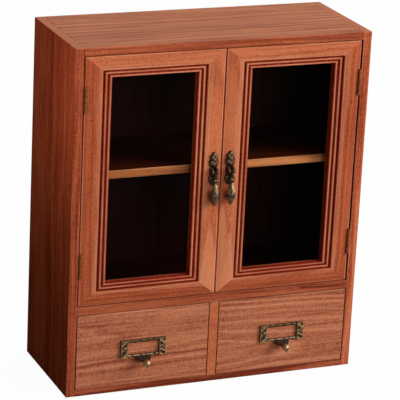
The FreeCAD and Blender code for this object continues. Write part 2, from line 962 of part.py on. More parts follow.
def pendant():
    """The drop that swings between the cheeks: eye, collar, faceted body."""
    tang_half = s.cheek_slot / 2 - s.tang_gap
    tang = (pull_x - tang_half, pull_x + tang_half)
    collar_top = pin_height - s.collar_top_drop
    collar_low = collar_top - s.collar_tall
    eye = rod("pendant_eye", s.eye_radius, 2 * tang_half, tang[0], pin_y, pin_height, "+x")
    neck = block(
        "pendant_neck",
        tang,
        (pin_y - s.eye_radius, pin_y + s.eye_radius),
        (collar_top - s.collar_tall * COLLAR_SHARES[1][0], pin_height),
    )

    turned = body("pendant_collar", pull_x, pin_y, collar_top)
    profile = sketch_on(turned, "collar_profile", "XZ_Plane")
    outline = [(sized(0), sized(0))]
    for down, out, swell in COLLAR_SHARES:
        corner = (out * s.collar_radius, -down * s.collar_tall)
        outline.append(corner + (-swell * s.collar_radius,) if swell else corner)
    trace(profile, outline + [(sized(0), -s.collar_tall)])
    spin = turned.newObject("PartDesign::Revolution", "collar_turned")
    spin.Profile = profile
    spin.ReferenceAxis = (profile, ["V_Axis"])

    rings = []
    for index, (down, out) in enumerate(DROP_SHARES):
        ring = doc.addObject("Part::RegularPolygon", "drop_ring_%d" % index)
        ring.Polygon = DROP_SIDES
        tie(ring, Circumradius=out * s.drop_radius)
        rings.append(put(ring, pull_x, pin_y, collar_low - down * s.drop_tall))
    facets = doc.addObject("Part::Loft", "pendant_facets")
    facets.Sections = rings
    facets.Solid = True
    facets.Ruled = True

    blank = fused("pendant_blank", [eye, neck, turned, facets])
    bore = rod(
        "pendant_bore",
        s.pull_pin_radius + s.pin_play,
        2 * (tang_half + s.overrun),
        tang[0] - s.overrun,
        pin_y,
        pin_height,
        "+x",
    )
    twins("pull_%s_pendant", cut("pendant", blank, [bore]))


# Drawers, drawn on the left

drawer_out = -inner + s.drawer_gap_side
drawer_in = -s.divider_thick / 2 - s.drawer_gap_side
drawer_middle = (drawer_out + drawer_in) / 2
front_low = s.base_thick + s.drawer_gap_low
front_top = deck_low - s.drawer_gap_top
front_back = front + s.front_thick
box_low = s.base_thick + s.drawer_lift
box_top = deck_low - s.box_headroom
box_end = back_face - s.box_back_gap
box_out = drawer_out + s.box_inset
box_in = drawer_in - s.box_inset
tray_floor = box_low + s.tray_low
tray_top = tray_floor + s.tray_thick


def tray(name, play):
    """The drawer's thin floor, or its groove when play is given."""
    bite = s.tray_bite + play
    across = (box_out + s.box_thick - bite, box_in - s.box_thick + bite)
    deep = (front_back - bite, box_end + play)
    return block(name, across, deep, (tray_floor - play, tray_top + play))


def brads(name, play):
    """Brads through the drawer front into its sides, or their holes."""
    side_middle = s.box_inset + s.box_thick / 2
    heights = (front_low + s.brad_low_height, front_low + s.brad_high_height)
    start = front if play else front + s.brad_deep
    long = s.brad_long + 2 * play + (s.brad_deep if play else 0)
    pieces = []
    for x_index, x in enumerate((drawer_out + side_middle, drawer_in - side_middle)):
        for z_index, z in enumerate(heights):
            label = "%s_%d_%d" % (name, x_index, z_index)
            pieces.append(rod(label, s.brad_radius + play, long, x, start, z, "+y"))
    return grouped(name, pieces)


def drawers():
    groove = tray("tray_groove", s.tray_play)
    brad_holes = brads("brad_holes", s.pin_play)
    pin_holes = label_pins("label_pin_holes", s.pin_play)
    face = block("front_board", (drawer_out, drawer_in), (front, front_back), (front_low, front_top))
    twins("drawer_%s_front", cut("drawer_front", face, [groove, brad_holes, pin_holes]))

    upright = (box_low, box_top)
    outer = block("outer_board", (box_out, box_out + s.box_thick), (front_back, box_end), upright)
    twins("drawer_%s_side_outer", cut("box_side_outer", outer, [groove, brad_holes]))
    inward = block("inner_board", (box_in - s.box_thick, box_in), (front_back, box_end), upright)
    twins("drawer_%s_side_inner", cut("box_side_inner", inward, [groove, brad_holes]))
    across = (box_out + s.box_thick, box_in - s.box_thick)
    height = (tray_top, box_top - s.box_back_drop)
    end = block("box_back", across, (box_end - s.box_thick, box_end), height)
    twins("drawer_%s_back", end)
    twins("drawer_%s_bottom", tray("tray", 0))
    twins("drawer_%s_brads", brads("brads", 0))


def label_pins(name, play=0):
    """The two pins of the label holder, or their holes when play is given."""
    x_out = (s.window_wide + s.label_wide) / 4
    seat = front - s.label_thick - s.end_thick
    long = s.label_pin_long + s.label_thick + s.end_thick + play
    pieces = []
    for index, sign in enumerate((-1, 1)):
        x = drawer_middle + sign * x_out
        label = "%s_%d" % (name, index)
        shank = rod(label + "_shank", s.label_pin_radius + play, long, x, seat, s.label_height, "+y")
        if play:
            pieces.append(shank)
            continue
        head = rod(label + "_head", s.label_pin_head, s.label_pin_thick, x, seat, s.label_height, "-y")
        pieces.append(fused(label, [shank, head]))
    return grouped(name, pieces)


def rectangle(wide, tall, middle=0):
    """Corners of a rectangle about a point on the first axis."""
    half_wide = wide / 2
    half_tall = tall / 2
    return [
        (middle - half_wide, -half_tall),
        (middle + half_wide, -half_tall),
        (middle + half_wide, half_tall),
        (middle - half_wide, half_tall),
    ]


def label_pull():
    """The label holder: frame, raised ends, and the tongue with its ball."""
    holder = body("label_frame", drawer_middle, front, s.label_height)
    outline = sketch_on(holder, "label_outline", "XZ_Plane")
    trace(outline, rectangle(s.label_wide, s.label_tall))
    trace(outline, rectangle(s.window_wide, s.window_tall))
    pad(holder, "label_plate", outline, s.label_thick)
    ends = sketch_on(holder, "label_ends", "XZ_Plane")
    end_wide = (s.label_wide - s.window_wide) / 2 - 2 * s.end_margin
    end_out = (s.window_wide + s.label_wide) / 4
    for sign in (-1, 1):
        trace(ends, rectangle(end_wide, s.label_tall - 2 * s.end_margin, sign * end_out))
    pad(holder, "label_end_pads", ends, s.label_thick + s.end_thick)

    lip = body("tongue", drawer_middle, front, s.label_height)
    side = sketch_on(lip, "tongue_side", "YZ_Plane")
    root_low = -s.label_tall / 2
    root_high = root_low + s.tongue_thick
    profile = [
        (-s.label_thick / 2, root_high),
        (-s.tongue_out, root_high - s.tongue_drop, s.tongue_swell),
        (-s.tongue_out, root_low - s.tongue_drop),
        (-s.label_thick / 2, root_low, -s.tongue_swell),
    ]
    trace(side, [(corner[0], corner[1]) + tuple(-swell for swell in corner[2:]) for corner in profile])
    pad(lip, "tongue_pad", side, s.tongue_wide, both=True)
    plan = sketch_on(lip, "tongue_plan", "XY_Plane")
    tip_y = -s.tongue_out - s.overrun
    wide = s.tongue_wide / 2
    narrow = s.tongue_tip_wide / 2
    for sign in (-1, 1):
        far = sign * (wide + s.overrun)
        root = [(sign * wide, -s.label_thick), (far, -s.label_thick)]
        trace(plan, root + [(far, tip_y), (sign * narrow, tip_y)])
    pocket_through(lip, "tongue_taper", plan)

    ball = doc.addObject("Part::Sphere", "label_ball")
    tie(ball, Radius=s.ball_radius)
    centre = (drawer_middle, front - s.ball_out, s.label_height - s.ball_drop)
    put(ball, *centre)
    tip = cone("ball_tip", s.ball_tip_radius, s.ball_tip_end, s.ball_tip_long, *centre, "-y-z")
    blank = fused("label_blank", [holder, lip, ball, tip])
    holes = label_pins("label_frame_holes", s.pin_play)
    twins("label_pull_%s", cut("label_pull", blank, [holes]))
    twins("label_pins_%s", label_pins("label_pin"))


# Build everything, check it and write each piece

holes_for_nails = nails("nail_holes", s.pin_play)
side_panels(holes_for_nails)
boards_between(holes_for_nails)
back_panel(holes_for_nails)
node("back_panel_nails", nails("back_panel_nails", 0))
shelf()
shelf_pins()
carcase_dowels()
hinges()
catch()
door_frames()
door_glass()
pull_plate()
pendant()
drawers()
label_pull()
doc.recompute()

for obj in doc.Objects:
    if "Invalid" in obj.State or "Error" in obj.State:
        raise RuntimeError("%s did not recompute: %s" % (obj.Name, obj.State))

os.makedirs("parts", exist_ok=True)
for piece in nodes:
    shape = piece.Shape
    if shape.isNull() or not shape.isValid() or not shape.Solids:
        raise RuntimeError("%s has no valid solid" % piece.Label)
for piece in nodes:
    piece.Shape.exportStep("parts/%s.step" % piece.Label)
    print(piece.Label, len(piece.Shape.Solids), "solids", round(piece.Shape.Volume, 1), "mm3")
print(len(nodes), "pieces")
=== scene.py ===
"""Looks of the desktop cabinet with doors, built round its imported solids.

Sizes are in millimetres in the part's frame, and become metres as a mesh is
made. The left half is described, and the right half is its mirror image.
"""

from __future__ import annotations

import json
import logging
import math
from dataclasses import asdict, dataclass, replace
from enum import Enum
from typing import Callable, Iterable, Optional, Sequence

import bmesh
import bpy
from bmesh.types import BMEdge, BMVert
from bpy.types import ID, Material, Mesh, Node, NodeSocket, NodeTree, Object, World
from mathutils import Matrix, Vector

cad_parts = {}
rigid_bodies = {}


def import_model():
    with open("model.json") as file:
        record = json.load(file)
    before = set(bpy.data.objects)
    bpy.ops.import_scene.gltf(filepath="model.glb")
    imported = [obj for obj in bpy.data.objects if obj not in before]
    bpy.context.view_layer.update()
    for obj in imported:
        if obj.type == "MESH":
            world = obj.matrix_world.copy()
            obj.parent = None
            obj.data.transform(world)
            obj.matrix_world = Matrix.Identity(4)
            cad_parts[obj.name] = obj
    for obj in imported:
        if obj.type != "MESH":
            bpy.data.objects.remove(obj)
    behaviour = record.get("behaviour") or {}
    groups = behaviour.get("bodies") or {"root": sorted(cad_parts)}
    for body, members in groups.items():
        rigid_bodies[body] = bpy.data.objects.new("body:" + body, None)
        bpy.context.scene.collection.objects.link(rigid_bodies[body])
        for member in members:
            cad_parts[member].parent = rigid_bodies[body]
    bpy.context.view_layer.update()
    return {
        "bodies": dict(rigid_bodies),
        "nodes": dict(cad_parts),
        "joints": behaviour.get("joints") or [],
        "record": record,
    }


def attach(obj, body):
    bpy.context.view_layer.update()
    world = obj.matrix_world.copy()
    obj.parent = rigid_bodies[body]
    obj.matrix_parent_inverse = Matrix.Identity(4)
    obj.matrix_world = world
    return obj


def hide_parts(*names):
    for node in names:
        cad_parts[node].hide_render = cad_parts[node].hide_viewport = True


log = logging.getLogger("cabinet")

MM = 0.001
Colour = tuple[float, float, float, float]
Spot = tuple[float, float, float]
Flat = tuple[float, float]
Place = tuple[Spot, Spot]
WHITE: Colour = (1.0, 1.0, 1.0, 1.0)
UP, BACKWARD, FORWARD = (0.0, 0.0, 1.0), (0.0, 1.0, 0.0), (0.0, -1.0, 0.0)
# Where the painted shade of the case's inside, the front edge's tint and the top end's colour
# begin or end, each from none to all of it
INNER_SIDE, INNER_BACK = (141.6, 141.9), (56.5, 57.0)
INNER_FLOOR, INNER_CEILING = (6.2, 6.4), (337.7, 337.9)
FRONT_EDGE, TOP_END = (-59.7, -59.5), (344.4, 344.8)
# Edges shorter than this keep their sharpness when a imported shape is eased
SHORT_EDGE = 4.0
# How far the closed back of a casting reaches into what it sits on
BEDDED = 0.02


def stain(red: int, green: int, blue: int) -> Colour:
    """Turns a screen colour into the linear colour that a shader takes.

    Args:
        red, green, blue: Its channels, from 0 to 255.

    Returns:
        The linear colour, opaque.
    """

    def linear(level: int) -> float:
        """Undoes the screen's curve for one channel."""
        share = level / 255
        return share / 12.92 if share <= 0.04045 else ((share + 0.055) / 1.055) ** 2.4

    return (linear(red), linear(green), linear(blue), 1.0)


def grey(level: float) -> Colour:
    """Gives a neutral colour."""
    return (level, level, level, 1.0)


def between(low: float, high: float, share: float) -> float:
    """Gives the number that lies a share of the way from low to high."""
    return low + (high - low) * share


def kept(share: float) -> float:
    """Keeps a number from 0 to 1."""
    return min(1.0, max(0.0, share))


def arc(start: Flat, end: Flat, swell: float, steps: int) -> list[Flat]:
    """Samples an arc that bulges to the right of the way from start to end.

    Args:
        start, end: Where the arc starts and ends.
        swell: How far the arc's middle stands off the chord.
        steps: How many straight runs stand for the arc.

    Returns:
        The points after the start, up to the end.
    """
    across, up = end[0] - start[0], end[1] - start[1]
    chord = math.hypot(across, up)
    if abs(swell) < 1e-6 or chord < 1e-6:
        return [end]
    half = 2 * math.atan(2 * abs(swell) / chord)
    radius = chord / 2 / math.sin(half)
    way = (across / chord, up / chord)
    side = math.copysign(1, swell)
    right = (way[1] * side, -way[0] * side)
    middle = ((start[0] + end[0]) / 2, (start[1] + end[1]) / 2)
    points = []
    for step in range(1, steps + 1):
        turn = half * (2 * step / steps - 1)
        along = radius * math.sin(turn)
        off = radius * math.cos(turn) - radius * math.cos(half)
        points.append(tuple(middle[i] + way[i] * along + right[i] * off for i in (0, 1)))
    return points


def path(start: Flat, rows: Iterable[Spot], steps: int) -> list[Flat]:
    """Follows a row of arcs.

    Args:
        start: Where the first arc starts.
        rows: (across, up, swell), where each arc ends and how far it bulges.
        steps: How many straight runs stand for an arc.

    Returns:
        The points after the start, up to the end of the last arc.
    """
    points = []
    for across, up, swell in rows:
        points += arc(start, (across, up), swell, steps)
        start = (across, up)
    return points


def titled(name: str) -> str:
    """Turns the name of a field into the name of a tree's input."""
    return name.replace("_", " ").title()


def stood(name: str, data: ID) -> Object:
    """Puts a new object into the scene."""
    thing = bpy.data.objects.new(name, data)
    bpy.context.scene.collection.objects.link(thing)
    return thing


def baked(thing: Object) -> Mesh:
    """Gives an object's mesh with its modifiers applied."""
    now = thing.evaluated_get(bpy.context.evaluated_depsgraph_get())
    return bpy.data.meshes.new_from_object(now)


class Side(Enum):
    """Half of the cabinet, as the sign that its left-hand sizes are given."""

    LEFT = 1
    RIGHT = -1

    @property
    def word(self) -> str:
        """The half's name in the names of its pieces."""
        return self.name.lower()

    def x(self, left: float) -> float:
        """Gives the place on this half of a place on the left half."""
        return left * self.value


class Lay(Enum):
    """How a board lies: its axes along the grain, across it and through it."""

    FLAT = (0, 1, 2)
    FACE = (0, 2, 1)
    POST = (2, 0, 1)
    CHEEK = (2, 1, 0)
    DEEP = (1, 2, 0)


def operator_of(operation: str, flipped: bool = False) -> Callable[[Value, object], Value]:
    """Makes the method that stands behind an operator.

    Args:
        operation: What the Math node does.
        flipped: Whether the other term comes first.

    Returns:
        The method.
    """

    def method(self: Value, other: object) -> Value:
        """Adds the Math node."""
        return self.nodes.maths(operation, *((other, self) if flipped else (self, other)))

    return method


class Value:
    """A node's output that takes part in arithmetic."""

    __add__, __radd__ = operator_of("ADD"), operator_of("ADD", True)
    __sub__, __rsub__ = operator_of("SUBTRACT"), operator_of("SUBTRACT", True)
    __mul__, __rmul__ = operator_of("MULTIPLY"), operator_of("MULTIPLY", True)
    __truediv__, __pow__ = operator_of("DIVIDE"), operator_of("POWER")

    def __init__(self, nodes: Nodes, socket: NodeSocket) -> None:
        """Wraps a socket of a tree."""
        self.nodes, self.socket = nodes, socket

    def sine(self) -> Value:
        """Takes the sine, in radians."""
        return self.nodes.maths("SINE", self)

    def size(self) -> Value:
        """Drops the sign."""
        return self.nodes.maths("ABSOLUTE", self)

    def capped(self) -> Value:
        """Keeps the value from 0 to 1."""
        return self.nodes.maths("ADD", self, 0.0, clamp=True)

    def rise(self, low: float, high: float) -> Value:
        """Rises smoothly from 0 at low to 1 at high."""
        limits = {"Value": self, "From Min": low, "From Max": high}
        return self.nodes.value("MapRange", limits, interpolation_type="SMOOTHSTEP")


class Nodes:
    """A node tree, with one way of adding any node to it."""

    def __init__(self, tree: NodeTree) -> None:
        """Takes the tree to add to."""
        self.tree = tree

    def node(
        self, kind: str, inputs: Optional[dict] = None, **settings: object
    ) -> Node:
        """Adds a node.

        Args:
            kind: The node's type, without its family.
            inputs: The values or links of its sockets, by name or number.
            settings: Its properties.

        Returns:
            The new node.
        """
        families = ("ShaderNode", "GeometryNode", "FunctionNode", "")
        kind = next(family + kind for family in families if hasattr(bpy.types, family + kind))
        made = self.tree.nodes.new(kind)
        for name, value in settings.items():
            setattr(made, name, value)
        for name, value in (inputs or {}).items():
            if isinstance(value, Value):
                self.tree.links.new(value.socket, made.inputs[name])
            else:
                made.inputs[name].default_value = value
        return made

    def value(
        self, kind: str, inputs: Optional[dict] = None, output: object = 0, **settings: object
    ) -> Value:
        """Adds a node and gives one of its outputs, by name or number."""
        return Value(self, self.node(kind, inputs, **settings).outputs[output])

    def maths(self, operation: str, *terms: object, clamp: bool = False) -> Value:
        """Adds a Math node, whose result may be kept from 0 to 1."""
        terms = dict(enumerate(terms))
        return self.value("Math", terms, operation=operation, use_clamp=clamp)


class Graph(Nodes):
    """The node tree of one material, or of the world."""

    def __init__(self, owner: Material | World) -> None:
        """Empties the owner's node tree."""
        self.owner = owner
        owner.use_nodes = True
        super().__init__(owner.node_tree)
        self.tree.nodes.clear()

    @classmethod
    def called(cls, name: str) -> Graph:
        """Starts an empty material under a name."""
        return cls(bpy.data.materials.new(name))

    def place(self) -> list[Value]:
        """Gives the object's own three coordinates, in millimetres."""
        where = self.value("TexCoord", output="Object")
        scaled = self.value("VectorMath", {0: where, "Scale": 1 / MM}, operation="SCALE")
        return [Value(self, part) for part in self.node("SeparateXYZ", {0: scaled}).outputs]

    def noise(self, spot: Sequence[object], detail: float = 2.0, rough: float = 0.5) -> Value:
        """Adds a noise.

        Args:
            spot: The three coordinates that it reads, a unit a lump.
            detail, rough: How many finer layers it has, and how strong they are.

        Returns:
            The noise, about 0.5.
        """
        where = self.value("CombineXYZ", dict(enumerate(spot)))
        looks = {"Vector": where, "Scale": 1.0, "Detail": detail, "Roughness": rough}
        return self.value("TexNoise", looks)

    def cloud(
        self, spot: Sequence[Value], lump: float, detail: float = 2.0, rough: float = 0.5
    ) -> Value:
        """Adds a noise whose lumps measure the same every way."""
        return self.noise([axis / lump for axis in spot], detail, rough)

    def ripple(self, along: Value) -> Value:
        """Adds a noise that varies one way only, such as ring after ring."""
        looks = {"W": along, "Scale": 1.0, "Detail": 2.0, "Roughness": 0.6}
        return self.value("TexNoise", looks, noise_dimensions="1D")

    def mark(self, name: str) -> Value:
        """Reads a mark that the mesh carries."""
        return self.value("Attribute", output="Fac", attribute_name=name)

    def ramp(self, value: Value, stops: Sequence[tuple[float, Colour]]) -> Value:
        """Turns a value into a colour by a ramp."""
        made = self.node("ValToRGB", {0: value})
        elements = made.color_ramp.elements
        while len(elements) < len(stops):
            elements.new(0.5)
        for element, (place, colour) in zip(elements, stops):
            element.position, element.color = place, colour
        return Value(self, made.outputs[0])

    def blend(self, share: object, first: object, second: object, how: str = "MIX") -> Value:
        """Mixes two colours.

        Args:
            share: How much of the second there is.
            first, second: The colours.
            how: The way of mixing.

        Returns:
            The mixed colour.
        """
        terms = {0: share, 6: first, 7: second}
        return self.value("Mix", terms, 2, data_type="RGBA", blend_type=how, clamp_factor=True)

    def times(self, colour: Value, tint: Colour) -> Value:
        """Multiplies a colour by a tint."""
        return self.blend(1.0, colour, tint, "MULTIPLY")

    def bump(self, height: Value, deep: float) -> Value:
        """Turns a height from 0 to 1 into a normal, where 1 is so many millimetres."""
        return self.value("Bump", {"Height": height, "Distance": deep * MM, "Strength": 1.0})

    def lacquer(self, colour: object, **sockets: object) -> Value:
        """Adds the main shader, with any of its sockets by name."""
        named = {name.replace("_", " "): value for name, value in sockets.items()}
        return self.value("BsdfPrincipled", {"Base Color": colour, **named})

    def either(self, share: object, first: Value, second: Value) -> Value:
        """Mixes two shaders by the share of the second."""
        return self.value("MixShader", {0: share, 1: first, 2: second})

    def done(self, shader: Value) -> Material:
        """Ends the material in a shader."""
        self.node("OutputMaterial", {"Surface": shader})
        return self.owner


@dataclass(frozen=True)
class Cut:
    """Where a board was cut from its tree, in millimetres.

    Attributes:
        lay: How the board lies.
        centre: A point of the board along, across and through its grain.
        pith: How far off the heart of the tree is, across and through.
        taper: How much nearer the rings come for a step along the grain.
        seed: Which part of the tree it is.
        arch: The ring, in millimetres from the heart, where dark arches start.
    """

    lay: Lay
    centre: Spot
    pith: Flat
    taper: float
    seed: float
    arch: Optional[float] = None


@dataclass(frozen=True)
class Wood:
    """A wood under stain and satin lacquer.

    Attributes:
        light, middle, dark: Colours of its pale rings, of most of it and of its dark rings.
        ring, wobble: Space between rings and how far they wander, in millimetres.
        rings, streaks: How strongly the rings and the streaks along the grain show.
        specks, blotch: How strongly fine mottling shows and the stain varies.
        pores, rough, gloss: How dark its pores are, its roughness and its specular level.
        hollow, hollow_from: Painted shade inside the cabinet, a dark tint of its colour, and how
            far forward that reaches.
        fade: How far back the painted shade takes to turn nearly black.
        edge, cap: What its front edge takes its colour times, and what its top end leans to.
        glaze, worn, rub: Colours of the grooves and of the pale edges and crests, which show
            rubbed wear and a painted highlight, and how far those show; the middle of each arch
            also leans to worn.
    """

    light: Colour
    middle: Colour
    dark: Colour
    ring: float = 4.0
    wobble: float = 5.0
    rings: float = 0.9
    streaks: float = 0.7
    specks: float = 0.35
    blotch: float = 0.5
    pores: float = 0.35
    rough: float = 0.5
    gloss: float = 0.12
    hollow: Optional[Colour] = None
    hollow_from: float = -50.0
    fade: float = 70.0
    edge: Optional[Colour] = None
    cap: Optional[Colour] = None
    glaze: Colour = stain(132, 24, 8)
    worn: Colour = stain(236, 172, 134)
    rub: float = 0.75

    def material(self, name: str, cut: Cut) -> Material:
        """Makes the material of one board.

        Args:
            name, cut: The material's name, and where the board was cut from.

        Returns:
            The material.
        """
        graph = Graph.called(name)
        spot = graph.place()
        along, across, through = (spot[axis] - at for axis, at in zip(cut.lay.value, cut.centre))

        def stretched(long: float, wide: float, detail: float, more: float = 0.0) -> Value:
            """A noise whose lumps are long along the grain and narrow across it."""
            lump = (along / long + (cut.seed * 7.3 + more), across / wide, through / wide)
            return graph.noise(lump, detail)

        wander = (stretched(150, 26, 2) - 0.5) * (2 * self.wobble)
        wander = wander + (stretched(34, 7, 1, 31.0) - 0.5) * (0.35 * self.wobble)
        u, v = across - cut.pith[0], through - cut.pith[1]
        ring = ((u * u + v * v) ** 0.5 + along * cut.taper + wander) / self.ring
        year = graph.ripple(ring + cut.seed)
        wave = (ring * 3.9).sine() * 0.09
        streak, fibre = stretched(70, 1.7, 3, 5.0), stretched(9, 0.5, 2, 11.0)
        speck, blotch = graph.cloud(spot, 1.7, 3, 0.7), stretched(90, 34, 2, 17.0)
        tone = 0.5 + (year - 0.5 + wave) * (1.4 * self.rings)
        tone = tone + (streak - 0.5) * (1.2 * self.streaks) + (fibre - 0.5) * (0.5 * self.streaks)
        tone = tone + (speck - 0.5) * self.specks + (blotch - 0.5) * self.blotch
        if cut.arch is not None:
            past = ring * self.ring - cut.arch
            nest = past.rise(-1.3, -0.4) * (1 - past.rise(-0.15, 0.15))
            tone = tone - nest * ((past * 9.0).sine() * 0.09 + 0.04)
            heart = 1 - past.rise(-1.2, -0.4)
            tone = tone + heart * 0.2
        colour = graph.ramp(tone, [(0.14, self.dark), (0.5, self.middle), (0.84, self.light)])
        # Inside each arch the colour leans to the pale worn colour
        if cut.arch is not None:
            colour = graph.blend(heart * 0.16, colour, self.worn)
        pore = stretched(6, 0.36, 1, 23.0).rise(0.60, 0.72) * streak.rise(0.35, 0.6)
        colour = graph.blend(pore * self.pores, colour, graph.times(colour, self.dark))
        patch = graph.cloud(spot, 2.6).rise(0.42, 0.66)
        glaze = (graph.mark("glaze") * (0.7 + speck * 0.4 + patch * 1.1)).capped()
        colour = graph.blend(glaze, colour, self.glaze)
        # Pale edges and crests: rubbed wear, and a painted highlight along the arrises
        wear = graph.mark("wear") * (0.25 + streak.rise(0.35, 0.6) * 0.75)
        colour = graph.blend(wear * self.rub, colour, self.worn)
        # Front edge tint and top end colour; on the side panels they paint light on the front
        # edge and the top end
        if self.edge:
            front = 1 - spot[1].rise(*FRONT_EDGE)
            colour = graph.blend(front, colour, graph.times(colour, self.edge))
        if self.cap:
            colour = graph.blend(spot[2].rise(*TOP_END) * 0.8, colour, self.cap)
        # Painted shade inside the case: a dark tint of the colour, deepening towards black
        # further back
        if self.hollow:
            start = self.hollow_from
            inside = 1 - spot[0].size().rise(*INNER_SIDE)
            inside = inside * spot[1].rise(start - 0.2, start + 0.1)
            inside = inside * (1 - spot[1].rise(*INNER_BACK)) * spot[2].rise(*INNER_FLOOR)
            inside = inside * (1 - spot[2].rise(*INNER_CEILING))
            depth = spot[1].rise(start, start + self.fade) * 0.7
            shade = graph.blend(depth, graph.times(colour, self.hollow), grey(0.0))
            colour = graph.blend(inside, colour, shade)
        shader = graph.lacquer(
            colour,
            Roughness=self.rough + (tone - 0.5) * 0.12 + glaze * 0.2 + pore * 0.1,
            Normal=graph.bump(tone * 0.4 + fibre * 0.4 - pore * 0.8 - wear * 0.2, 0.09),
            Specular_IOR_Level=self.gloss,
        )
        return graph.done(shader)


@dataclass(frozen=True)
class Metal:
    """A metal that is rubbed bright where it is touched and dark in its hollows.

    Attributes:
        bright: Colour where it is rubbed.
        body: Its main colour.
        dark: Colour of its hollows.
        rough: Its roughness where it is rubbed.
        age: How much of it the main colour covers.
        grain: Size of its blotches, in millimetres.
        relief: Depth of its pits, in millimetres.
    """

    bright: Colour
    body: Colour
    dark: Colour
    rough: float = 0.3
    age: float = 0.5
    grain: float = 2.2
    relief: float = 0.05

    def material(self, name: str) -> Material:
        """Makes the material under a name.

        Args:
            name: The material's name.

        Returns:
            The material.
        """
        graph = Graph.called(name)
        spot = graph.place()
        cloud, pit = graph.cloud(spot, self.grain, 3, 0.6), graph.cloud(spot, 0.5, 2, 0.6)
        bare = 0.95 - (self.age * 0.5 + 0.25)
        patina = (cloud + (pit - 0.5) * 0.25).rise(bare - 0.14, bare + 0.14)
        colour = graph.blend(patina, self.bright, self.body)
        colour = graph.blend(graph.mark("wear") * 0.7, colour, self.bright)
        glaze = (graph.mark("glaze") * (0.8 + cloud * 0.4)).capped()
        shader = graph.lacquer(
            graph.blend(glaze, colour, self.dark),
            Metallic=1.0 - glaze * 0.7,
            Roughness=self.rough + patina * 0.18 + glaze * 0.35 + (pit - 0.5) * self.relief * 3,
            Normal=graph.bump(cloud * 0.5 + pit * 0.5, self.relief),
        )
        return graph.done(shader)


@dataclass(frozen=True)
class Moulded:
    """A matt moulded plastic or a plain dark filler.

    Attributes:
        middle: Its main colour.
        dark: Its colour in the low spots of its texture.
        rough: Its roughness.
    """

    middle: Colour
    dark: Colour
    rough: float = 0.55

    def material(self, name: str) -> Material:
        """Makes the material under a name."""
        graph = Graph.called(name)
        spot = graph.place()
        fine, broad = graph.cloud(spot, 0.35), graph.cloud(spot, 6.0)
        colour = graph.blend(fine * 0.5 + broad * 0.5, self.dark, self.middle)
        rough, normal = self.rough + (broad - 0.5) * 0.2, graph.bump(fine, 0.03)
        return graph.done(graph.lacquer(colour, Roughness=rough, Normal=normal))


@dataclass(frozen=True)
class Pane:
    """Clear sheet glass with a little dust.

    Attributes:
        tint: Colour of what shows through.
        gloss: Share of the light that it reflects.
    """

    tint: Colour
    gloss: float = 0.0008

    def material(self, name: str) -> Material:
        """Makes the material under a name."""
        graph = Graph.called(name)
        x, y, z = graph.place()
        dust = graph.noise((x / 30, y / 30, z / 18), 3, 0.6).rise(0.5, 0.85)
        smear = graph.noise((x / 3, y, z / 1.2), 2).rise(0.45, 0.8)
        clear = graph.value("BsdfTransparent", {"Color": self.tint})
        haze = graph.lacquer(
            graph.blend(dust, stain(150, 150, 150), stain(200, 198, 192)),
            Roughness=0.08 + smear * 0.3,
            Normal=graph.bump(smear, 0.004),
        )
        facing = graph.value("LayerWeight", output="Facing")
        share = facing**5 * 0.6 + self.gloss + dust * smear * 0.002
        return graph.done(graph.either(share, clear, haze))


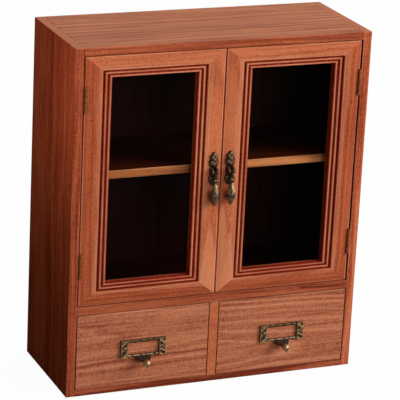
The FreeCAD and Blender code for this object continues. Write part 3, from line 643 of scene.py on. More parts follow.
class Solid:
    """A closed mesh in the making, in millimetres.

    A point is (x, y, z), and may go on with how glazed and how worn it is.
    """

    def __init__(self) -> None:
        """Starts empty."""
        self.mesh = bmesh.new()
        self.glaze = self.mesh.verts.layers.float.new("glaze")
        self.wear = self.mesh.verts.layers.float.new("wear")

    def loft(self, rings: Sequence[Sequence[Sequence[float]]]) -> Solid:
        """Skins a row of rings and caps both ends.

        Args:
            rings: Rings of as many points each.

        Returns:
            The solid itself.
        """
        rows = [[self._point(point) for point in ring] for ring in rings]
        count = len(rows[0])
        for row, after in zip(rows, rows[1:]):
            for index in range(count):
                turn = (index + 1) % count
                self.mesh.faces.new((row[index], row[turn], after[turn], after[index]))
        for end in (rows[0], rows[-1]):
            self.mesh.faces.new(end)
        return self

    def turned(
        self,
        profile: Sequence[Sequence[float]],
        centre: Spot,
        axis: int = 2,
        sides: int = 24,
        lobe: float = 0.0,
    ) -> Solid:
        """Turns a profile on an axis through a point.

        Args:
            profile: (radius, height) in a row, and how glazed and worn it is.
            centre: A point of the axis, from which heights are measured.
            axis, sides: The number of the axis, and how many sides the round has.
            lobe: How much its radius swells at each of six lobes, as a share.

        Returns:
            The solid itself.
        """
        rings = []
        for radius, height, *marks in profile:
            ring = []
            for side in range(sides):
                angle = 2 * math.pi * side / sides
                reach = radius * (1 + lobe * math.cos(6 * angle))
                spot = [0.0, 0.0, 0.0]
                spot[axis] = height
                spot[(axis + 1) % 3] = reach * math.cos(angle)
                spot[(axis + 2) % 3] = reach * math.sin(angle)
                ring.append([a + b for a, b in zip(spot, centre)] + marks)
            rings.append(ring)
        return self.loft(rings)

    def block(self, low: Spot, high: Spot, ease: float) -> Solid:
        """Adds a block with eased edges.

        Args:
            low, high: Two corners that lie across from each other.
            ease: How far each edge is taken back.

        Returns:
            The solid itself.
        """
        verts = bmesh.ops.create_cube(self.mesh, size=1.0)["verts"]
        middle = [(a + b) / 2 for a, b in zip(low, high)]
        span = [abs(b - a) for a, b in zip(low, high)]
        for vert in verts:
            vert.co = Vector(m + c * s for m, c, s in zip(middle, vert.co, span))
        edges = dict.fromkeys(edge for vert in verts for edge in vert.link_edges)
        return self.eased(edges, ease)

    def eased(self, edges: Iterable[BMEdge], width: float) -> Solid:
        """Takes edges back and marks their crests as worn, a mark that the wood also shows as a
        painted highlight along the arris.

        Args:
            edges: The edges.
            width: How far each is taken back.

        Returns:
            The solid itself.
        """
        made = bmesh.ops.bevel(
            self.mesh, geom=list(edges), offset=width, offset_type="OFFSET", segments=2,
            profile=0.6, affect="EDGES", clamp_overlap=False,
        )
        fresh = set(made["faces"])
        for vert in made["verts"]:
            if vert.is_valid and all(face in fresh for face in vert.link_faces):
                vert[self.wear] = 1.0
        return self

    def copy_of(self, node: Object, width: float) -> Solid:
        """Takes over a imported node's shape and eases its long edges.

        Args:
            node: The node's object.
            width: How far an edge is taken back.

        Returns:
            The solid itself.
        """
        mesh = self._take(node.data).mesh
        bmesh.ops.scale(mesh, vec=(1 / MM,) * 3, verts=mesh.verts[:])
        bmesh.ops.remove_doubles(mesh, verts=mesh.verts[:], dist=0.001)
        flat = math.radians(0.5)
        bmesh.ops.dissolve_limit(mesh, angle_limit=flat, verts=mesh.verts[:], edges=mesh.edges[:])
        sharp = [
            edge
            for edge in mesh.edges
            if len(edge.link_faces) == 2
            and edge.calc_face_angle(0.0) > math.radians(35)
            and edge.calc_length() > SHORT_EDGE
        ]
        return self.eased(sharp, width) if sharp else self

    def carve(self, tool: Solid) -> None:
        """Cuts another solid away."""
        base, cutter = self._loose(), tool._loose()
        cut = base.modifiers.new("cut", "BOOLEAN")
        cut.operation, cut.solver, cut.object = "DIFFERENCE", "EXACT", cutter
        shape = baked(base)
        self.mesh.clear()
        self._take(shape)
        for thing in (base, cutter):
            bpy.data.objects.remove(thing)

    def marked(self, rule: Callable[[Vector], Flat]) -> Solid:
        """Marks each point with how glazed and how worn it is by a rule."""
        for vert in self.mesh.verts:
            vert[self.glaze], vert[self.wear] = rule(vert.co)
        return self

    def tipped(self, centre: Spot, angle: float) -> Solid:
        """Tips the solid about a line along X through a point, by degrees."""
        turn = Matrix.Rotation(math.radians(angle), 3, "X")
        bmesh.ops.rotate(self.mesh, cent=centre, matrix=turn, verts=self.mesh.verts[:])
        return self

    def add(self, other: Solid) -> None:
        """Adds another solid, and ends it."""
        shape = bpy.data.meshes.new("part")
        other.mesh.to_mesh(shape)
        other.mesh.free()
        self._take(shape)

    def joined(self, shape: Mesh) -> Solid:
        """Adds a mesh that is in metres already."""
        shape.transform(Matrix.Scale(1 / MM, 4))
        return self._take(shape)

    def shape(self, name: str, smooth: float) -> Mesh:
        """Ends in a mesh in metres, faces outward.

        Args:
            name: The mesh's name.
            smooth: Faces that meet at less than this many degrees look smooth.

        Returns:
            The mesh.
        """
        bmesh.ops.remove_doubles(self.mesh, verts=self.mesh.verts[:], dist=0.0005)
        bmesh.ops.recalc_face_normals(self.mesh, faces=self.mesh.faces[:])
        bmesh.ops.scale(self.mesh, vec=(MM,) * 3, verts=self.mesh.verts[:])
        shape = bpy.data.meshes.new(name)
        self.mesh.to_mesh(shape)
        self.mesh.free()
        shape.shade_smooth()
        shape.set_sharp_from_angle(angle=math.radians(smooth))
        return shape

    def _take(self, shape: Mesh) -> Solid:
        """Adds a mesh as it is, and finds the marks again."""
        self.mesh.from_mesh(shape)
        layers = self.mesh.verts.layers.float
        self.glaze = layers.get("glaze") or self.glaze
        self.wear = layers.get("wear") or self.wear
        return self

    def _loose(self) -> Object:
        """Makes a passing object of the solid as it stands."""
        shape = bpy.data.meshes.new("passing")
        bmesh.ops.recalc_face_normals(self.mesh, faces=self.mesh.faces[:])
        self.mesh.to_mesh(shape)
        return stood("passing", shape)

    def _point(self, point: Sequence[float]) -> BMVert:
        """Adds a point with its marks."""
        vert = self.mesh.verts.new(Vector(point[:3]))
        vert[self.glaze], vert[self.wear] = (*point[3:], 0.0, 0.0)[:2]
        return vert


@dataclass(frozen=True)
class Fastener:
    """A screw, nail or pin, in millimetres.

    Attributes:
        head_radius, head_thickness: Its head's radius and thickness.
        crown: How far the head falls from its middle to its rim.
        shank_radius, shank_length: Its shank's radius and length.
        slot_width, slotted: Width of its slot, and whether it has one.
    """

    head_radius: float
    head_thickness: float
    crown: float
    shank_radius: float
    shank_length: float
    slot_width: float = 0.2
    slotted: bool = False


BACK_NAIL = Fastener(1.2, 0.6, 0.12, 0.6, 11.4)
SHELF_PIN = Fastener(2.0, 3.0, 0.5, 2.0, 11.0)
HINGE_SCREW = Fastener(1.7, 0.8, 0.05, 0.8, 6.2, 0.4, True)
BRAD = Fastener(0.8, 1.0, 0.1, 0.8, 21.0)
LABEL_PIN = Fastener(1.3, 0.9, 0.5, 0.6, 8.0)


class Repeats:
    """Geometry node trees that set one thing out on many places."""

    def __init__(self) -> None:
        """Builds the trees."""
        self.fastener, self.knuckle, self.bead = self._fastener(), self._knuckle(), self._bead()

    def run(
        self, tree: NodeTree, places: Sequence[Place], material: Material, **sizes: object
    ) -> Mesh:
        """Sets a tree's thing out and gives the result as a plain mesh.

        Args:
            tree: One of the trees.
            places: Where each one goes, in millimetres, and where it faces.
            material: What it is made of.
            sizes: The tree's named inputs, lengths in millimetres.

        Returns:
            The mesh, in metres.
        """
        shape = bpy.data.meshes.new("places")
        shape.from_pydata([[c * MM for c in place] for place, _ in places], [], [])
        aim = shape.attributes.new("aim", "FLOAT_VECTOR", "POINT")
        for entry, (_, way) in zip(aim.data, places):
            entry.vector = way
        thing = stood("places", shape)
        modifier = thing.modifiers.new("set_out", "NODES")
        modifier.node_group = tree
        values = {titled(name): value for name, value in sizes.items()}
        values["Material"] = material
        for item in tree.interface.items_tree:
            if item.item_type == "SOCKET" and item.in_out == "INPUT" and item.name in values:
                value = values[item.name]
                is_long = item.socket_type == "NodeSocketFloat"
                modifier[item.identifier] = value * MM if is_long else value
        made = baked(thing)
        bpy.data.objects.remove(thing)
        return made

    @staticmethod
    def _start(name: str, sizes: Sequence[str], flags: Sequence[str] = ()) -> tuple[Nodes, dict]:
        """Starts a tree with its named inputs.

        Args:
            name: The tree's name.
            sizes, flags: Names of its lengths, and of its yes or no inputs.

        Returns:
            The tree's nodes, and its inputs by name.
        """
        tree = bpy.data.node_groups.new(name, "GeometryNodeTree")
        kinds = {"Geometry": "Geometry", **dict.fromkeys(sizes, "Float")}
        kinds |= {**dict.fromkeys(flags, "Bool"), "Material": "Material"}
        sockets = [(label, "INPUT", kind) for label, kind in kinds.items()]
        for label, way, kind in sockets + [("Geometry", "OUTPUT", "Geometry")]:
            tree.interface.new_socket(name=label, in_out=way, socket_type="NodeSocket" + kind)
        nodes = Nodes(tree)
        given = nodes.node("NodeGroupInput").outputs
        return nodes, {label: Value(nodes, given[label]) for label in kinds}

    @staticmethod
    def _end(nodes: Nodes, given: dict[str, Value], *parts: Value) -> NodeTree:
        """Sets the parts out on the places, facing their way.

        Args:
            nodes, given: The tree's nodes and its inputs.
            parts: The meshes that make one thing, standing on its Z axis.

        Returns:
            The finished tree.
        """
        whole = nodes.node("JoinGeometry")
        for part in parts:
            nodes.tree.links.new(part.socket, whole.inputs[0])
        aim = nodes.value("InputNamedAttribute", {"Name": "aim"}, data_type="FLOAT_VECTOR")
        turn = nodes.value("AlignRotationToVector", {"Vector": aim}, axis="Z")
        instance = Value(nodes, whole.outputs[0])
        where = {"Points": given["Geometry"], "Instance": instance, "Rotation": turn}
        placed = nodes.value("InstanceOnPoints", where)
        real = nodes.value("RealizeInstances", {0: placed})
        dress = {"Geometry": real, "Material": given["Material"]}
        nodes.node("NodeGroupOutput", {"Geometry": nodes.value("SetMaterial", dress)})
        return nodes.tree

    @staticmethod
    def _rod(nodes: Nodes, sides: int, radius: Value, depth: Value, fills: int = 1) -> Value:
        """Adds a rod on the Z axis, whose ends are cut into so many rings."""
        sizes = {"Vertices": sides, "Fill Segments": fills, "Radius": radius, "Depth": depth}
        return nodes.value("MeshCylinder", sizes)

    @staticmethod
    def _lifted(nodes: Nodes, shape: Value, height: Value) -> Value:
        """Moves a mesh up its Z axis."""
        lift = nodes.value("CombineXYZ", {"Z": height})
        return nodes.value("Transform", {"Geometry": shape, "Translation": lift})

    def _fastener(self) -> NodeTree:
        """Builds the tree of screws, nails and pins: a crowned head and its shank."""
        *sizes, flag = map(titled, Fastener.__dataclass_fields__)
        nodes, given = self._start("fasteners", sizes, (flag,))
        radius, thick, long = (
            given[name] for name in ("Head Radius", "Head Thickness", "Shank Length")
        )
        disc = self._lifted(nodes, self._rod(nodes, 24, radius, thick, 4), thick * -0.5)
        spot = nodes.value("InputPosition")
        flat = nodes.value("VectorMath", {0: spot, 1: (1.0, 1.0, 0.0)}, operation="MULTIPLY")
        share = nodes.value("VectorMath", {0: flat}, "Value", operation="LENGTH") / radius
        height = nodes.value("SeparateXYZ", {0: spot}, "Z")
        is_top = nodes.maths("GREATER_THAN", height, -1e-6)
        fall = share * share * given["Crown"] * -1.0 * is_top
        lower = nodes.value("CombineXYZ", {"Z": fall})
        crowned = nodes.value("SetPosition", {"Geometry": disc, "Offset": lower})
        sides = {"X": radius * 2.4, "Y": given["Slot Width"], "Z": thick * 0.9}
        slot = nodes.value("MeshCube", {"Size": nodes.value("CombineXYZ", sides)})
        meshes = {"Mesh 1": crowned, "Mesh 2": slot}
        cut = nodes.value("MeshBoolean", meshes, operation="DIFFERENCE")
        heads = {"Switch": given[flag], "False": crowned, "True": cut}
        top = nodes.value("Switch", heads, input_type="GEOMETRY")
        shank = self._rod(nodes, 12, given["Shank Radius"], long)
        return self._end(nodes, given, top, self._lifted(nodes, shank, long * -0.5 - thick))

    def _knuckle(self) -> NodeTree:
        """Builds the tree of hinge knuckles: a barrel with a shoulder at each end."""
        nodes, given = self._start("knuckles", ("Radius", "Length", "Shoulder"))
        radius, shoulder = given["Radius"], given["Shoulder"]
        narrow, long = radius - shoulder, given["Length"] - shoulder * 2.0
        rise = long * 0.5
        end = rise + shoulder
        sizes = {"Vertices": 20, "Radius": radius, "Depth": long}
        parts = [nodes.value("MeshCylinder", sizes, fill_type="NONE")]
        for top, low, foot, cap in (
            (narrow, radius, rise, end), (radius, narrow, end * -1.0, end * -1.0)
        ):
            sizes = {"Vertices": 20, "Radius Top": top, "Radius Bottom": low, "Depth": shoulder}
            cone = nodes.value("MeshCone", sizes, fill_type="NONE")
            disc = {"Vertices": 20, "Radius": narrow}
            disc = nodes.value("MeshCircle", disc, fill_type="NGON")
            parts += [self._lifted(nodes, cone, foot), self._lifted(nodes, disc, cap)]
        return self._end(nodes, given, *parts)

    def _bead(self) -> NodeTree:
        """Builds the tree of beads: a small ball, sunk by half in what carries it."""
        nodes, given = self._start("beads", ("Radius",))
        sizes = {"Segments": 12, "Rings": 8, "Radius": given["Radius"]}
        return self._end(nodes, given, nodes.value("MeshUVSphere", sizes))


# Painted shade of the case's inside faces, a tint that darkens their colour
INNER_PAINTED_SHADE = stain(120, 34, 10)
CASE = Wood(
    stain(186, 96, 60), stain(163, 76, 47), stain(118, 45, 25), rings=1.1, streaks=1.5,
    specks=1.2, hollow=INNER_PAINTED_SHADE, rub=0.25,
)
TOP = Wood(
    stain(194, 122, 86), stain(175, 104, 70), stain(146, 77, 49), ring=5.0, rings=1.0,
    streaks=1.9, specks=1.3, hollow=INNER_PAINTED_SHADE, edge=(1.12, 0.78, 0.64, 1.0), rub=0.25,
)
# Side panels: a little darker than the case wood, as painted shade, with the front edge and the
# top end lightened, as painted light
SHELL = Wood(
    stain(172, 80, 46), stain(150, 62, 34), stain(116, 40, 19), ring=8.0, rings=0.5,
    streaks=1.5, specks=1.4, gloss=0.0, hollow=INNER_PAINTED_SHADE, rub=0.2, edge=(1.22, 1.5, 1.75, 1.0),
    cap=stain(188, 124, 96),
)
# The right panel's front edge is painted lighter still, as painted light
SHELL_RIGHT_LIT_EDGE = replace(SHELL, edge=(1.75, 2.5, 3.1, 1.0))
DOOR = Wood(
    stain(222, 128, 82), stain(203, 111, 71), stain(174, 80, 48), ring=3.0, wobble=4.0,
    rings=0.42, streaks=0.5, specks=1.35, blotch=0.4,
)
DOOR_OUTER = Wood(
    stain(202, 106, 64), stain(180, 86, 52), stain(146, 58, 34), ring=3.0, wobble=4.0,
    rings=0.5, streaks=0.6, specks=1.35, blotch=0.5,
)
DRAWER = Wood(
    stain(218, 138, 100), stain(194, 114, 80), stain(148, 74, 48), ring=3.6, wobble=3.5,
    rings=0.8, streaks=0.8, specks=1.2, blotch=0.5, pores=0.9,
)
# Shelf: pale, so that its front edge shows lit, as painted light; behind the edge its top takes
# painted shade
SHELF = Wood(
    stain(232, 148, 92), stain(214, 130, 78), stain(174, 96, 54), ring=5.0, streaks=1.1,
    specks=0.8, gloss=0.08, hollow=stain(96, 62, 44), hollow_from=-43.5, fade=45.0,
)
PLAIN = Wood(
    stain(206, 166, 120), stain(184, 140, 96), stain(150, 106, 68), ring=5.0, rings=0.6,
    rough=0.65, gloss=0.2, worn=stain(214, 180, 140),
)
BEECH = Wood(
    stain(214, 180, 138), stain(196, 158, 116), stain(170, 128, 88), ring=2.0, rings=0.4,
    rough=0.6,
)
FINISHES: dict[str, Metal | Moulded | Pane] = {
    "aged_brass": Metal(
        stain(204, 172, 126), stain(98, 72, 42), stain(44, 17, 7), age=0.8, grain=2.3
    ),
    "plate_brass": Metal(
        stain(140, 108, 80), stain(74, 50, 34), stain(26, 11, 6), 0.34, age=0.75, grain=1.3
    ),
    "drop_brass": Metal(
        stain(184, 160, 120), stain(100, 80, 56), stain(26, 14, 8), 0.12, 0.35, 7.0, 0.004
    ),
    "hinge_brass": Metal(stain(184, 124, 80), stain(146, 84, 46), stain(58, 28, 14), 0.4),
    "screw_brass": Metal(stain(190, 160, 96), stain(140, 110, 60), stain(60, 40, 18), 0.35),
    "steel": Metal(stain(186, 186, 188), stain(140, 141, 145), stain(60, 58, 58), 0.36),
    "filler": Moulded(stain(118, 44, 22), stain(70, 22, 9)),
    "catch_plastic": Moulded(stain(78, 50, 34), stain(58, 34, 22)),
    "glass": Pane((0.95, 0.96, 0.95, 1.0)),
}


class Workshop:
    """The frame, and the ways a finished piece joins it."""

    def __init__(self, frame: dict) -> None:
        """Takes the loaded frame and makes the shared materials."""
        self.nodes = frame["nodes"]
        self.repeats = Repeats()
        self.finish = {name: finish.material(name) for name, finish in FINISHES.items()}

    def piece(
        self,
        name: str,
        shape: Solid | Mesh,
        body: str,
        slot: str,
        node: str,
        material: Optional[Material] = None,
        smooth: float = 32.0,
    ) -> None:
        """Adds a finished piece.

        Args:
            name: The piece's name.
            shape: Its solid, or its mesh in metres.
            body, slot, node: Its body, its slot in the record and the node it stands for.
            material: Its material, if not the finish named like the slot.
            smooth: Faces that meet at less than this many degrees look smooth.
        """
        if isinstance(shape, Solid):
            shape = shape.shape(name, smooth)
        shape.materials.clear()
        shape.materials.append(material or self.finish[slot])
        thing = stood(name, shape)
        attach(thing, body)
        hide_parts(node)
        log.info("piece %s on %s: %d faces", name, body, len(shape.polygons))

    def dress(self, node: str, material: Material) -> None:
        """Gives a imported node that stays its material."""
        thing = self.nodes[node]
        if not thing.material_slots:
            thing.data.materials.append(material)
        for entry in thing.material_slots:
            entry.material = material
        log.info("kept %s as packed, in %s", node, material.name)

    def board(
        self, node: str, body: str, slot: str, wood: Wood, cut: Cut, ease: float = 0.4
    ) -> None:
        """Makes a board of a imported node, with eased edges.

        Args:
            node, body, slot: The node that it stands for, its body and its slot.
            wood, cut: What it is made of, and where it was cut from.
            ease: How far its edges are taken back.
        """
        solid = Solid().copy_of(self.nodes[node], ease)
        material = wood.material(node + "_wood", cut)
        self.piece(node + "_board", solid, body, slot, node, material, 8.0)

    def fasteners(
        self,
        node: str,
        body: str,
        slot: str,
        places: Sequence[Place],
        kind: Fastener,
        material: Optional[Material] = None,
    ) -> None:
        """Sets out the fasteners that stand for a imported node.

        Args:
            node, body, slot: The node, their body and their slot.
            places: Each one's head and the way that it faces.
            kind: Their sizes.
            material: Their material, if not the finish named like the slot.
        """
        material = material or self.finish[slot]
        shape = self.repeats.run(self.repeats.fastener, places, material, **asdict(kind))
        shape.shade_smooth()
        shape.set_sharp_from_angle(angle=math.radians(35))
        self.piece(node + "_set", shape, body, slot, node, material)


@dataclass
class Carcase:
    """The case: its boards, back, shelf, pins and catch.

    Attributes:
        shop: The workshop.
        half, rear: Half of the width, and where the back edges are.
        nail_out, nail_levels: The back's upright rows of nails.
        nail_rows, nail_across: Its level rows of nails.
        pin_level, pin_end, pin_rows: Height, ends and depths of the shelf pins.
    """

    shop: Workshop
    half: float = 150.0
    rear: float = 60.0
    nail_levels: tuple[float, ...] = (20.46, 119.35, 218.24, 317.13)
    nail_rows: tuple[float, ...] = (3.25, 87.0, 339.25)
    nail_across: tuple[float, ...] = (-87.73, 0.0, 87.73)
    nail_out: float = 143.75
    pin_level: float = 210.0
    pin_end: float = 133.5
    pin_rows: tuple[float, ...] = (-29.0, 41.0)

    def build(self) -> None:
        """Builds and dresses the whole case."""
        self.boards()
        self.fixings()
        self.catch()

    def boards(self) -> None:
        """Makes the boards of the case."""
        board, dress = self.shop.board, self.shop.dress
        for side, wood in zip(Side, (SHELL, SHELL_RIGHT_LIT_EDGE)):
            centre, pith = (150.0, 0.0, side.x(-self.half)), (side.x(46.0), 90.0)
            cut = Cut(Lay.CHEEK, centre, pith, 0.012, 3.1 + side.value)
            board("side_panel_" + side.word, "case", "case_wood", wood, cut, 0.5)
        for node, wood, ease, *cut in (
            ("top_panel", TOP, 0.5, (0, 0, 341), (150, -110), 0.01, 8.2),
            ("bottom_panel", CASE, 0.4, (30, 0, 0), (120, 90), 0.01, 5.7),
            ("middle_deck", CASE, 0.4, (0, 0, 87), (140, -60), 0.012, 1.9),
            ("drawer_divider", DOOR, 0.25, (0, 0, 0), (60, 30), 0.02, 4.4),
            ("shelf", SHELF, 0.4, (0, 0, 216), (90, -60), 0.012, 6.6),
        ):
            board(node, "case", "case_wood", wood, Cut(Lay.FLAT, *cut), ease)
        back = Cut(Lay.CHEEK, (150, 0, 58), (90, 200), 0.01, 2.2)
        dress("back_panel", CASE.material("back_panel_wood", back))
        dowel = Cut(Lay.FLAT, (0, 0, 0), (30, 30), 0.01, 1.0)
        dress("carcase_dowels", BEECH.material("dowel_wood", dowel))

    def fixings(self) -> None:
        """Sets out the nails of the back and the pins of the shelf."""
        spots = [(side.x(-self.nail_out), level) for side in Side for level in self.nail_levels]
        spots += [(across, level) for level in self.nail_rows for across in self.nail_across]
        nails = [((x, self.rear, level), BACKWARD) for x, level in spots]
        self.shop.fasteners("back_panel_nails", "case", "steel", nails, BACK_NAIL)
        pins = [
            ((side.x(-self.pin_end), row, self.pin_level), (side.x(1.0), 0.0, 0.0))
            for side in Side
            for row in self.pin_rows
        ]
        beech = BEECH.material("shelf_pin_wood", Cut(Lay.FLAT, (0, 0, 200), (30, 30), 0.01, 2.0))
        self.shop.fasteners("shelf_pins", "case", "dowel_wood", pins, SHELF_PIN, beech)

    def catch(self) -> None:
        """Makes the magnetic catch under the top."""
        body = Solid().block((-23, -45.6, 329.5), (23, -34.6, 337.5), 0.6)
        magnets = Solid()
        for side in Side:
            magnets.block((side.x(-19), -46.8, 331.5), (side.x(-5), -45.0, 335.5), 0.2)
        self.shop.piece("catch_body", body, "case", "catch_plastic", "door_catch")
        self.shop.piece("catch_magnets", magnets, "case", "steel", "door_catch")


@dataclass
class Hinges:
    """The four butt hinges.

    Attributes:
        shop: The workshop.
        lows, long: Where each hinge of a side starts, and its length.
        pivot, barrel: Where the pins stand, and the radius of the knuckles.
        knuckles, gap: How many knuckles a hinge has, and the space between two.
        case_leaf, door_leaf: Where the two faces of a leaf are.
        leaf_y: Where the leaves begin and end.
        screw_y, screw_ends: How deep the screws lie, and how far from a leaf's ends.
    """

    shop: Workshop
    lows: tuple[float, float] = (120.0, 282.4)
    long: float = 26.0
    pivot: Flat = (-139.8, -60.3)
    barrel: float = 1.4
    knuckles: int = 5
    gap: float = 0.1
    case_leaf: Flat = (-141.5, -140.7)
    door_leaf: Flat = (-140.2, -139.4)
    leaf_y: Flat = (-58.65, -49.8)
    screw_y: float = -54.1
    screw_ends: float = 5.0

    def build(self) -> None:
        """Makes the leaves, pins and screws of every hinge."""
        shop, case_screws = self.shop, []
        for side in Side:
            word, door = side.word, "door_" + side.word
            self._leaves("hinge_case_leaves_" + word, "case", side, self.case_leaf, 0)
            self._leaves("hinge_door_leaves_" + word, door, side, self.door_leaf, 1)
            case_screws += self._screws(side, self.case_leaf[1], 1.0)
            screws = self._screws(side, self.door_leaf[0], -1.0)
            shop.fasteners("hinge_door_screws_" + word, door, "screw_brass", screws, HINGE_SCREW)
        shop.fasteners("hinge_case_screws", "case", "screw_brass", case_screws, HINGE_SCREW)
        shop.dress("hinge_pins", shop.finish["hinge_brass"])

    def _leaves(self, name: str, body: str, side: Side, leaf: Flat, first: int) -> None:
        """Makes the two leaves of one side that one body carries.

        Args:
            name, body, side: The node that they stand for, their body and half.
            leaf: Where the plate's two faces are.
            first: Which knuckle is its first, of every second.
        """
        pitch = self.long / self.knuckles
        tall = pitch - self.gap
        metal, places = Solid(), []
        start, end = side.x(leaf[0]), side.x(leaf[1])
        y, rear = self.leaf_y
        for low in self.lows:
            metal.block((start, y, low), (end, rear, low + self.long), 0.12)
            for index in range(first, self.knuckles, 2):
                base = low + index * pitch + self.gap / 2
                metal.block((start, self.pivot[1], base), (end, y + 0.3, base + tall), 0.1)
                places.append(((side.x(self.pivot[0]), self.pivot[1], base + tall / 2), UP))
        repeats, brass = self.shop.repeats, self.shop.finish["hinge_brass"]
        sizes = {"radius": self.barrel, "length": tall, "shoulder": 0.22}
        metal.joined(repeats.run(repeats.knuckle, places, brass, **sizes))
        self.shop.piece(name + "_brass", metal, body, "hinge_brass", name)

    def _screws(self, side: Side, face: float, way: float) -> list[Place]:
        """Gives the places of the screws of one side's leaves.

        Args:
            side: The half of the cabinet.
            face, way: Where their heads are, and which way they face, as a sign.

        Returns:
            The places.
        """
        ends = (self.screw_ends, self.long - self.screw_ends)
        levels = [low + end for low in self.lows for end in ends]
        way = (side.x(way), 0.0, 0.0)
        return [((side.x(face), self.screw_y, level), way) for level in levels]


@dataclass
class Half:
    """What a door, a pull and a drawer have in common.

    Attributes:
        shop: The workshop.
        side: The half of the cabinet.
        face: The plane of the fronts.
    """

    shop: Workshop
    side: Side
    face: float = -60.0


@dataclass
class Door(Half):
    """One door: four mitred members, glass, strips, pin and strike plate.

    Attributes:
        outer, inner, low, high, thick: Its hinged edge, free edge, foot, head and thickness.
        stile, rail: Widths of an upright and of a crosspiece.
        mould, fall: Depth of its moulding, and how far the outer arris lies back.
        glass_back, rabbet: How deep the glass lies, and where across its rabbet starts.
        section: (across, down, swell) of its face, as shares.
    """

    outer: float = -140.2
    inner: float = -0.7
    low: float = 92.0
    high: float = 336.4
    thick: float = 12.0
    stile: float = 27.2
    rail: float = 21.2
    mould: float = 2.6
    fall: float = 1.0
    glass_back: float = 5.2
    rabbet: float = 0.81
    section: tuple[Spot, ...] = (
        (0.40, 0, 0.06), (0.615, 0, 0), (0.650, 0.42, 0.10), (0.662, 0.95, 0),
        (0.708, 0.95, 0), (0.720, 0.62, 0), (0.818, 0.62, 0.36), (0.830, 0.90, 0),
        (0.872, 0.90, 0), (0.884, 0.74, 0), (0.986, 0.80, 0.34), (1.0, 1.10, 0),
    )

    def build(self) -> None:
        """Builds and dresses the whole door."""
        self.members()
        shop, word = self.shop, self.side.word
        shop.dress("door_%s_glass" % word, shop.finish["glass"])
        cut = Cut(Lay.POST, (0, 0, 0), (40, 20), 0.02, 9.0)
        strips = DOOR_OUTER.material("door_%s_strips_wood" % word, cut)
        shop.dress("door_%s_glass_strips" % word, strips)
        shop.dress("door_%s_sunk_pin" % word, shop.finish["filler"])
        name = "strike_plate_" + word
        strike = Solid().copy_of(shop.nodes[name], 0.15)
        shop.piece(name + "_steel", strike, "door_" + word, "steel", name)

    def profile(self) -> list[tuple[float, float, float, float]]:
        """Gives the section of a member from its outer edge to the glass.

        Returns:
            (across, depth, glaze, wear) in a row, across as a share.
        """
        width, mould, fall = self.stile, self.mould, self.fall
        points = [(0.0, self.thick, 0.0, 0.0), (0.0, fall + 0.5, 0.0, 0.0)]
        # The outer arris is marked worn: wear and a painted highlight
        points += [(0.01, fall + 0.05, 0.0, 0.8), (0.03, fall - 0.08, 0.0, 0.5)]
        points += [(0.045, fall - 0.12, 0.0, 0.0)]
        rows = [(out * width, down * mould, swell * mould) for out, down, swell in self.section]
        for across, depth in path((0.045 * width, fall - 0.12), rows, 8):
            share = across / width
            sunk = kept((depth / mould - 0.22) / 0.55)
            # Crests of the cushion and the beads are marked worn, which paints their highlight
            # lines as well as wear
            crest = 0.5 if 0.58 < share < 0.625 and depth < 0.3 else 0.0
            if 0.74 < share < 0.80 or 0.905 < share < 0.965:
                crest, sunk = 0.45, 0.4 * sunk
            points.append((share, depth, sunk**1.5, crest))
        points += [(1.0, self.glass_back, 1.0, 0.0), (self.rabbet, self.glass_back, 0.3, 0.0)]
        return points + [(self.rabbet, self.thick, 0.0, 0.0)]

    def members(self) -> None:
        """Makes the four members, each from one corner of the door to another."""
        side, turn = self.side, self.side.value
        middle = (self.low + self.high) / 2
        low_outer, low_inner, high_outer, high_inner = (
            self._mitre(x, z, inward, upward)
            for z, upward in ((self.low, 1), (self.high, -1))
            for x, inward in ((self.outer, 1), (self.inner, -1))
        )
        for part, rings, wood, lay, centre, pith, *rest in (
            ("stile_outer", (low_outer, high_outer), DOOR_OUTER, Lay.POST,
             (middle, side.x(-126), -60), (side.x(-34), 12), 0.02, 5.0 + turn),
            ("stile_inner", (low_inner, high_inner), DOOR, Lay.POST,
             (middle, side.x(-12), -60), (side.x(3), 22), 0.05, 7.7, 20.3),
            ("rail_bottom", (low_outer, low_inner), DOOR_OUTER, Lay.FACE,
             (side.x(-70), 102, -60), (-60, 18), 0.02, 2.4 + turn),
            ("rail_top", (high_outer, high_inner), DOOR, Lay.FACE,
             (side.x(-70), 326, -60), (50, 20), 0.02, 6.1 + turn),
        ):
            name = "door_%s_%s" % (side.word, part)
            stick = Solid().loft(rings)
            if part == "stile_outer":
                stick.carve(self._notches())
            stick.marked(self._marks(part))
            material = wood.material(name + "_wood", Cut(lay, centre, pith, *rest))
            body = "door_" + side.word
            self.shop.piece(name + "_wood", stick, body, "door_wood", name, material, 40.0)

    def _mitre(self, x: float, z: float, inward: int, upward: int) -> list[Spot]:
        """Gives the section where two members meet at a corner.

        Args:
            x, z: The corner's place across, and its height.
            inward, upward: Which way the stile and the rail grow, as signs.

        Returns:
            The ring of points on the mitre.
        """
        wide, tall = inward * self.stile, upward * self.rail
        return [
            (self.side.x(x + share * wide), self.face + depth, z + share * tall)
            for share, depth, _, _ in self.profile()
        ]

    def _notches(self) -> Solid:
        """Gives what is cut out of the hinged stile for leaves and sunk pin."""
        seat = [(-141.0, -62.0), (-138.05, -62.0), (-138.05, -58.55)]
        seat += [(-139.35, -58.55), (-139.35, -49.7), (-141.0, -49.7)]
        tool = Solid()
        for low in (119.9, 282.3):
            tool.loft([[(self.side.x(x), y, z) for x, y in seat] for z in (low, low + 26.2)])
        pin = (self.side.x(-132.9), 0.0, 275.9)
        return tool.turned([(1.0, -62.0), (1.0, -51.6)], pin, axis=1, sides=20)

